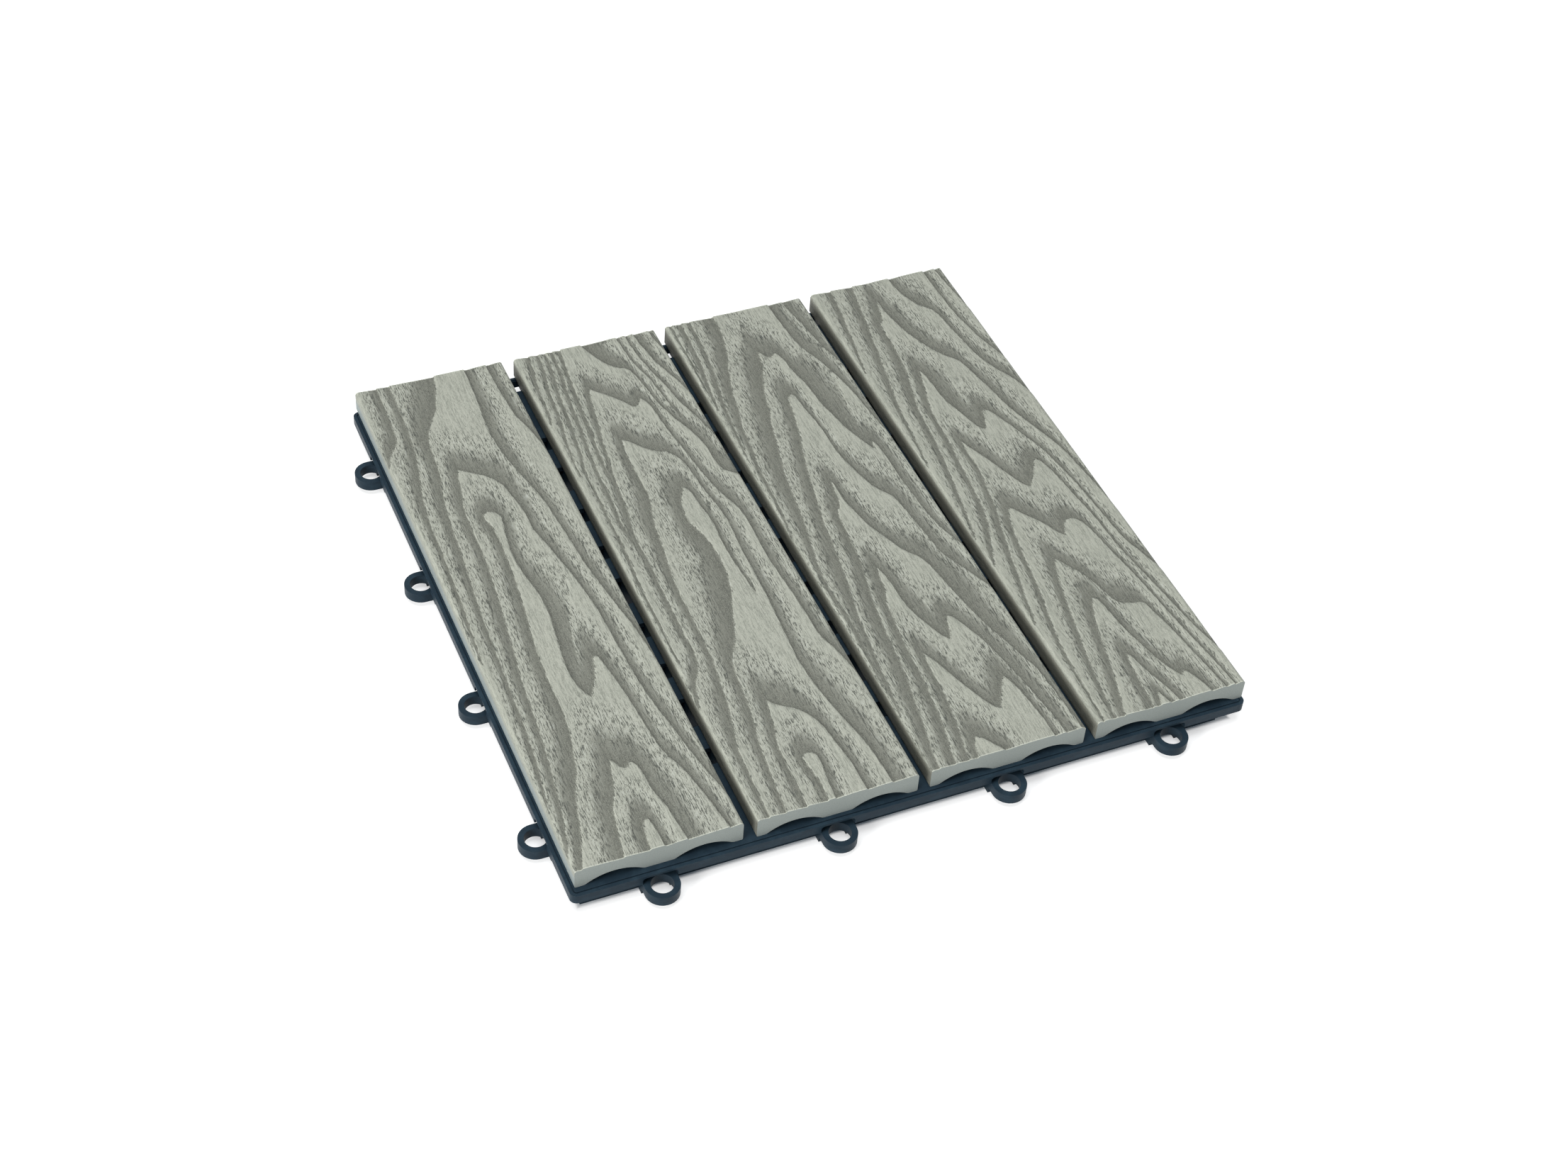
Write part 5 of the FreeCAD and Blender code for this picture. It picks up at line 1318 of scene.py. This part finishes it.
@dataclass
class Screws:
    """Pan-head screws, four under each slat, laid out by a node tree. Lengths in mm."""

    node: str = "screws"
    pitch: float = 75.0
    middle: Pair = (4.6, 3.5)
    head_r: float = 3.6
    head_low: float = 4.4
    head_high: float = 6.6
    shank_r: float = 1.75
    length: float = 12.0
    tip: float = 3.0
    tip_r: float = 0.25
    rim: float = 1.2
    crown: tuple[Pair, ...] = ((0.25, 0.4), (0.8, 0.08), (1.2, 0.0))
    cross_half: float = 0.42
    cross_reach: float = 1.9
    cross_depth: float = 1.25
    cross_taper: float = 0.78
    rows: int = 4
    sharp_angle: float = 40.0

    def rings(self, turns: list[float]) -> list[list[Pair]]:
        """Rings of one screw from its tip down over the head and into the recess.

        Args:
            turns: The directions of a ring's points about the axis, in radians.

        Returns:
            For each ring, the (radius, height) of its points in mm.
        """
        top = self.head_high + self.length
        profile = [
            (self.tip_r, top), (self.shank_r, top - self.tip), (self.shank_r, self.head_high),
            (self.head_r, self.head_high), (self.head_r, self.head_high - self.rim),
        ]
        profile += [(self.head_r - inset, self.head_low + rise) for inset, rise in self.crown]
        cross = [self.cross_radius(turn) for turn in turns]
        bottom = self.head_low + self.cross_depth
        rings = [[point] * len(turns) for point in profile]
        rings.append([(radius, self.head_low) for radius in cross])
        rings.append([(radius * self.cross_taper, bottom) for radius in cross])
        return rings

    def pattern(self) -> bpy.types.Object:
        """Makes one screw on the origin's upright axis, head down, with a cross recess.

        Returns:
            The screw's object.
        """
        slim = math.degrees(math.atan2(self.cross_half, self.cross_reach))
        quarter = (0.0, slim, 29.0, 45.0, 61.0, 90.0 - slim)
        turns = [math.radians(90 * index + angle) for index in range(4) for angle in quarter]
        work = bmesh.new()
        loops = []
        for ring in self.rings(turns):
            places = [
                (radius * math.cos(turn) * MM, radius * math.sin(turn) * MM, height * MM)
                for (radius, height), turn in zip(ring, turns)
            ]
            loops.append([work.verts.new(place) for place in places])
        for first, second in zip(loops, loops[1:]):
            for index in range(len(turns)):
                nxt = (index + 1) % len(turns)
                work.faces.new((first[index], first[nxt], second[nxt], second[index]))
        work.faces.new(loops[0])
        work.faces.new(loops[-1])
        bmesh.ops.recalc_face_normals(work, faces=work.faces)
        mesh = bpy.data.meshes.new("screw_pattern")
        work.to_mesh(mesh)
        work.free()
        mark_sharp(mesh, self.sharp_angle)
        return add_object("screw_pattern", mesh)

    def cross_radius(self, turn: float) -> float:
        """Measures the cross recess.

        Args:
            turn: A direction about the axis, in radians.

        Returns:
            Its reach in that direction, mm.
        """
        along = max(abs(math.cos(turn)), abs(math.sin(turn)))
        beside = min(abs(math.cos(turn)), abs(math.sin(turn)))
        return min(self.cross_reach / along, self.cross_half / max(beside, 1e-6))

    def layout_tree(self, finish: bpy.types.Material) -> bpy.types.NodeTree:
        """Makes the node tree that sets a screw on every point of a square array.

        Args:
            finish: The steel.

        Returns:
            The node tree.
        """
        tree = bpy.data.node_groups.new("screw_layout", "GeometryNodeTree")
        tree.interface.new_socket("Geometry", in_out="INPUT", socket_type="NodeSocketGeometry")
        tree.interface.new_socket("Geometry", in_out="OUTPUT", socket_type="NodeSocketGeometry")
        for name, kind in (
            ("Pitch", "NodeSocketFloat"), ("Rows", "NodeSocketInt"),
            ("Middle", "NodeSocketVector"), ("Screw", "NodeSocketObject"),
        ):
            tree.interface.new_socket(name, in_out="INPUT", socket_type=kind)
        nodes, link = tree.nodes, tree.links.new
        source, target = nodes.new("NodeGroupInput"), nodes.new("NodeGroupOutput")
        less = nodes.new("ShaderNodeMath")
        less.operation = "SUBTRACT"
        less.inputs[1].default_value = 1.0
        span = nodes.new("ShaderNodeMath")
        span.operation = "MULTIPLY"
        array = nodes.new("GeometryNodeMeshGrid")
        shift = nodes.new("GeometryNodeTransform")
        info = nodes.new("GeometryNodeObjectInfo")
        info.transform_space = "ORIGINAL"
        info.inputs["As Instance"].default_value = True
        repeat = nodes.new("GeometryNodeInstanceOnPoints")
        solid = nodes.new("GeometryNodeRealizeInstances")
        dress = nodes.new("GeometryNodeSetMaterial")
        dress.inputs["Material"].default_value = finish
        link(source.outputs["Rows"], less.inputs[0])
        link(source.outputs["Pitch"], span.inputs[0])
        link(less.outputs[0], span.inputs[1])
        for side in ("X", "Y"):
            link(span.outputs[0], array.inputs["Size " + side])
            link(source.outputs["Rows"], array.inputs["Vertices " + side])
        link(array.outputs["Mesh"], shift.inputs["Geometry"])
        link(source.outputs["Middle"], shift.inputs["Translation"])
        link(shift.outputs["Geometry"], repeat.inputs["Points"])
        link(source.outputs["Screw"], info.inputs["Object"])
        link(info.outputs["Geometry"], repeat.inputs["Instance"])
        link(repeat.outputs["Instances"], solid.inputs["Geometry"])
        link(solid.outputs["Geometry"], dress.inputs["Geometry"])
        link(dress.outputs["Geometry"], target.inputs["Geometry"])
        return tree

    def build(self, finish: bpy.types.Material) -> bpy.types.Object:
        """Makes all the screws as one plain mesh.

        Args:
            finish: The steel.

        Returns:
            The screws' object.
        """
        pattern = self.pattern()
        carrier = add_object("screw_set", bpy.data.meshes.new("screw_carrier"))
        modifier = carrier.modifiers.new("layout", "NODES")
        tree = self.layout_tree(finish)
        modifier.node_group = tree
        middle = Vector((self.middle[0] * MM, self.middle[1] * MM, 0.0))
        pitch = self.pitch * MM
        wanted = {"Pitch": pitch, "Rows": self.rows, "Middle": middle, "Screw": pattern}
        for item in tree.interface.items_tree:
            if item.in_out == "INPUT" and item.name in wanted:
                modifier[item.identifier] = wanted[item.name]
        make_plain(carrier)
        bpy.data.objects.remove(pattern)
        return carrier


@dataclass
class Studio:
    """White floor, soft lamps and the camera. Places in metres, angles in degrees."""

    camera_place: Triple = (-0.347414, -0.712113, 0.773782)
    camera_turn: Triple = (45.383868, -3.420315, -22.981907)
    lens: float = 58.0597
    sensor: float = 36.0
    floor_half: float = 6.0
    sky: float = 0.3
    sky_tint: Colour = (0.95, 0.98, 1.0)
    key_power: float = 30.0
    key_place: Triple = (-1.9, -0.9, 0.95)
    key_size: float = 0.9
    key_tint: Colour = (1.0, 1.0, 0.99)
    top_power: float = 27.0
    top_place: Triple = (-0.3, -0.2, 2.2)
    top_size: float = 1.4
    top_tint: Colour = (0.98, 0.99, 1.0)

    def build(self, paper: bpy.types.Material) -> None:
        """Sets up floor, sky, lamps, camera and view.

        Args:
            paper: The finish of the floor.
        """
        self.floor(paper)
        self.world()
        self.lamp("key", self.key_place, self.key_size, self.key_power, self.key_tint)
        self.lamp("top", self.top_place, self.top_size, self.top_power, self.top_tint)
        self.camera()
        bpy.context.scene.view_settings.view_transform = "Standard"

    def floor(self, paper: bpy.types.Material) -> None:
        """Lays a plain floor at ground level.

        Args:
            paper: Its finish.
        """
        half = self.floor_half
        mesh = bpy.data.meshes.new("studio_floor")
        corners = [(-half, -half, 0.0), (half, -half, 0.0), (half, half, 0.0), (-half, half, 0.0)]
        mesh.from_pydata(corners, [], [(0, 1, 2, 3)])
        mesh.materials.append(paper)
        sheet = add_object("studio_floor", mesh)

    def world(self) -> None:
        """Even sky light that looks plain white to the camera and in reflections."""
        world = bpy.data.worlds.new("studio")
        world.use_nodes = True
        tree = world.node_tree
        tree.nodes.clear()
        soft = tree.nodes.new("ShaderNodeBackground")
        soft.inputs["Color"].default_value = (*self.sky_tint, 1.0)
        soft.inputs["Strength"].default_value = self.sky
        white = tree.nodes.new("ShaderNodeBackground")
        white.inputs["Color"].default_value = (1.0, 1.0, 1.0, 1.0)
        white.inputs["Strength"].default_value = 1.0
        either = tree.nodes.new("ShaderNodeMixShader")
        target = tree.nodes.new("ShaderNodeOutputWorld")
        tree.links.new(seen_plainly(tree).socket, either.inputs[0])
        tree.links.new(soft.outputs[0], either.inputs[1])
        tree.links.new(white.outputs[0], either.inputs[2])
        tree.links.new(either.outputs[0], target.inputs["Surface"])
        bpy.context.scene.world = world

    def lamp(self, name: str, place: Triple, size: float, power: float, colour: Colour) -> None:
        """Square soft lamp aimed at the middle of the tile.

        Args:
            name: The lamp's name.
            place: Where it hangs, in metres.
            size: The length of its sides, in metres.
            power: Its power in watts.
            colour: The colour of its light.
        """
        data = bpy.data.lights.new(name, "AREA")
        data.shape = "SQUARE"
        data.size = size
        data.energy = power
        data.color = colour
        lamp = add_object(name, data)
        lamp.location = place
        lamp.rotation_euler = (-Vector(place)).to_track_quat("-Z", "Y").to_euler()

    def camera(self) -> None:
        """Camera at the photograph's viewpoint."""
        data = bpy.data.cameras.new("camera")
        data.sensor_width = self.sensor
        data.lens = self.lens
        data.clip_start = 0.01
        turn = Euler([math.radians(value) for value in self.camera_turn], "XYZ")
        camera = add_object("camera", data)
        camera.matrix_world = Matrix.Translation(self.camera_place) @ turn.to_matrix().to_4x4()
        bpy.context.scene.camera = camera


def settle(piece: bpy.types.Object, node: str) -> None:
    """Hands a finished piece over in place of its node and reports it.

    Args:
        piece: The piece's object.
        node: The node that it replaces.
    """
    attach(piece, BODY)
    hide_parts(node)
    LOG.info("%s: %d faces", piece.name, len(piece.data.polygons))


def main() -> None:
    """Builds and dresses the tile in its studio."""
    logging.basicConfig(level=logging.INFO, format="%(name)s: %(message)s")
    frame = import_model()
    Studio().build(StudioPaper().material())
    grid, screws = Grid(), Screws()
    plastic = MouldedPlastic().material()
    settle(grid.build(frame["nodes"][grid.node], plastic), grid.node)
    finishes = [PressedComposite().material(), SawnComposite().material()]
    slats = (
        Slat("deck_slat_1", Grain(RINGS_1), shift_back=0.7, outside=Outside.LEFT),
        Slat("deck_slat_2", Grain(RINGS_2)),
        Slat("deck_slat_3", Grain(RINGS_3)),
        Slat("deck_slat_4", Grain(RINGS_4), outside=Outside.RIGHT),
    )
    for slat in slats:
        settle(slat.build(finishes), slat.node)
    settle(screws.build(ScrewSteel().material()), screws.node)


if __name__ == "__main__":
    main()
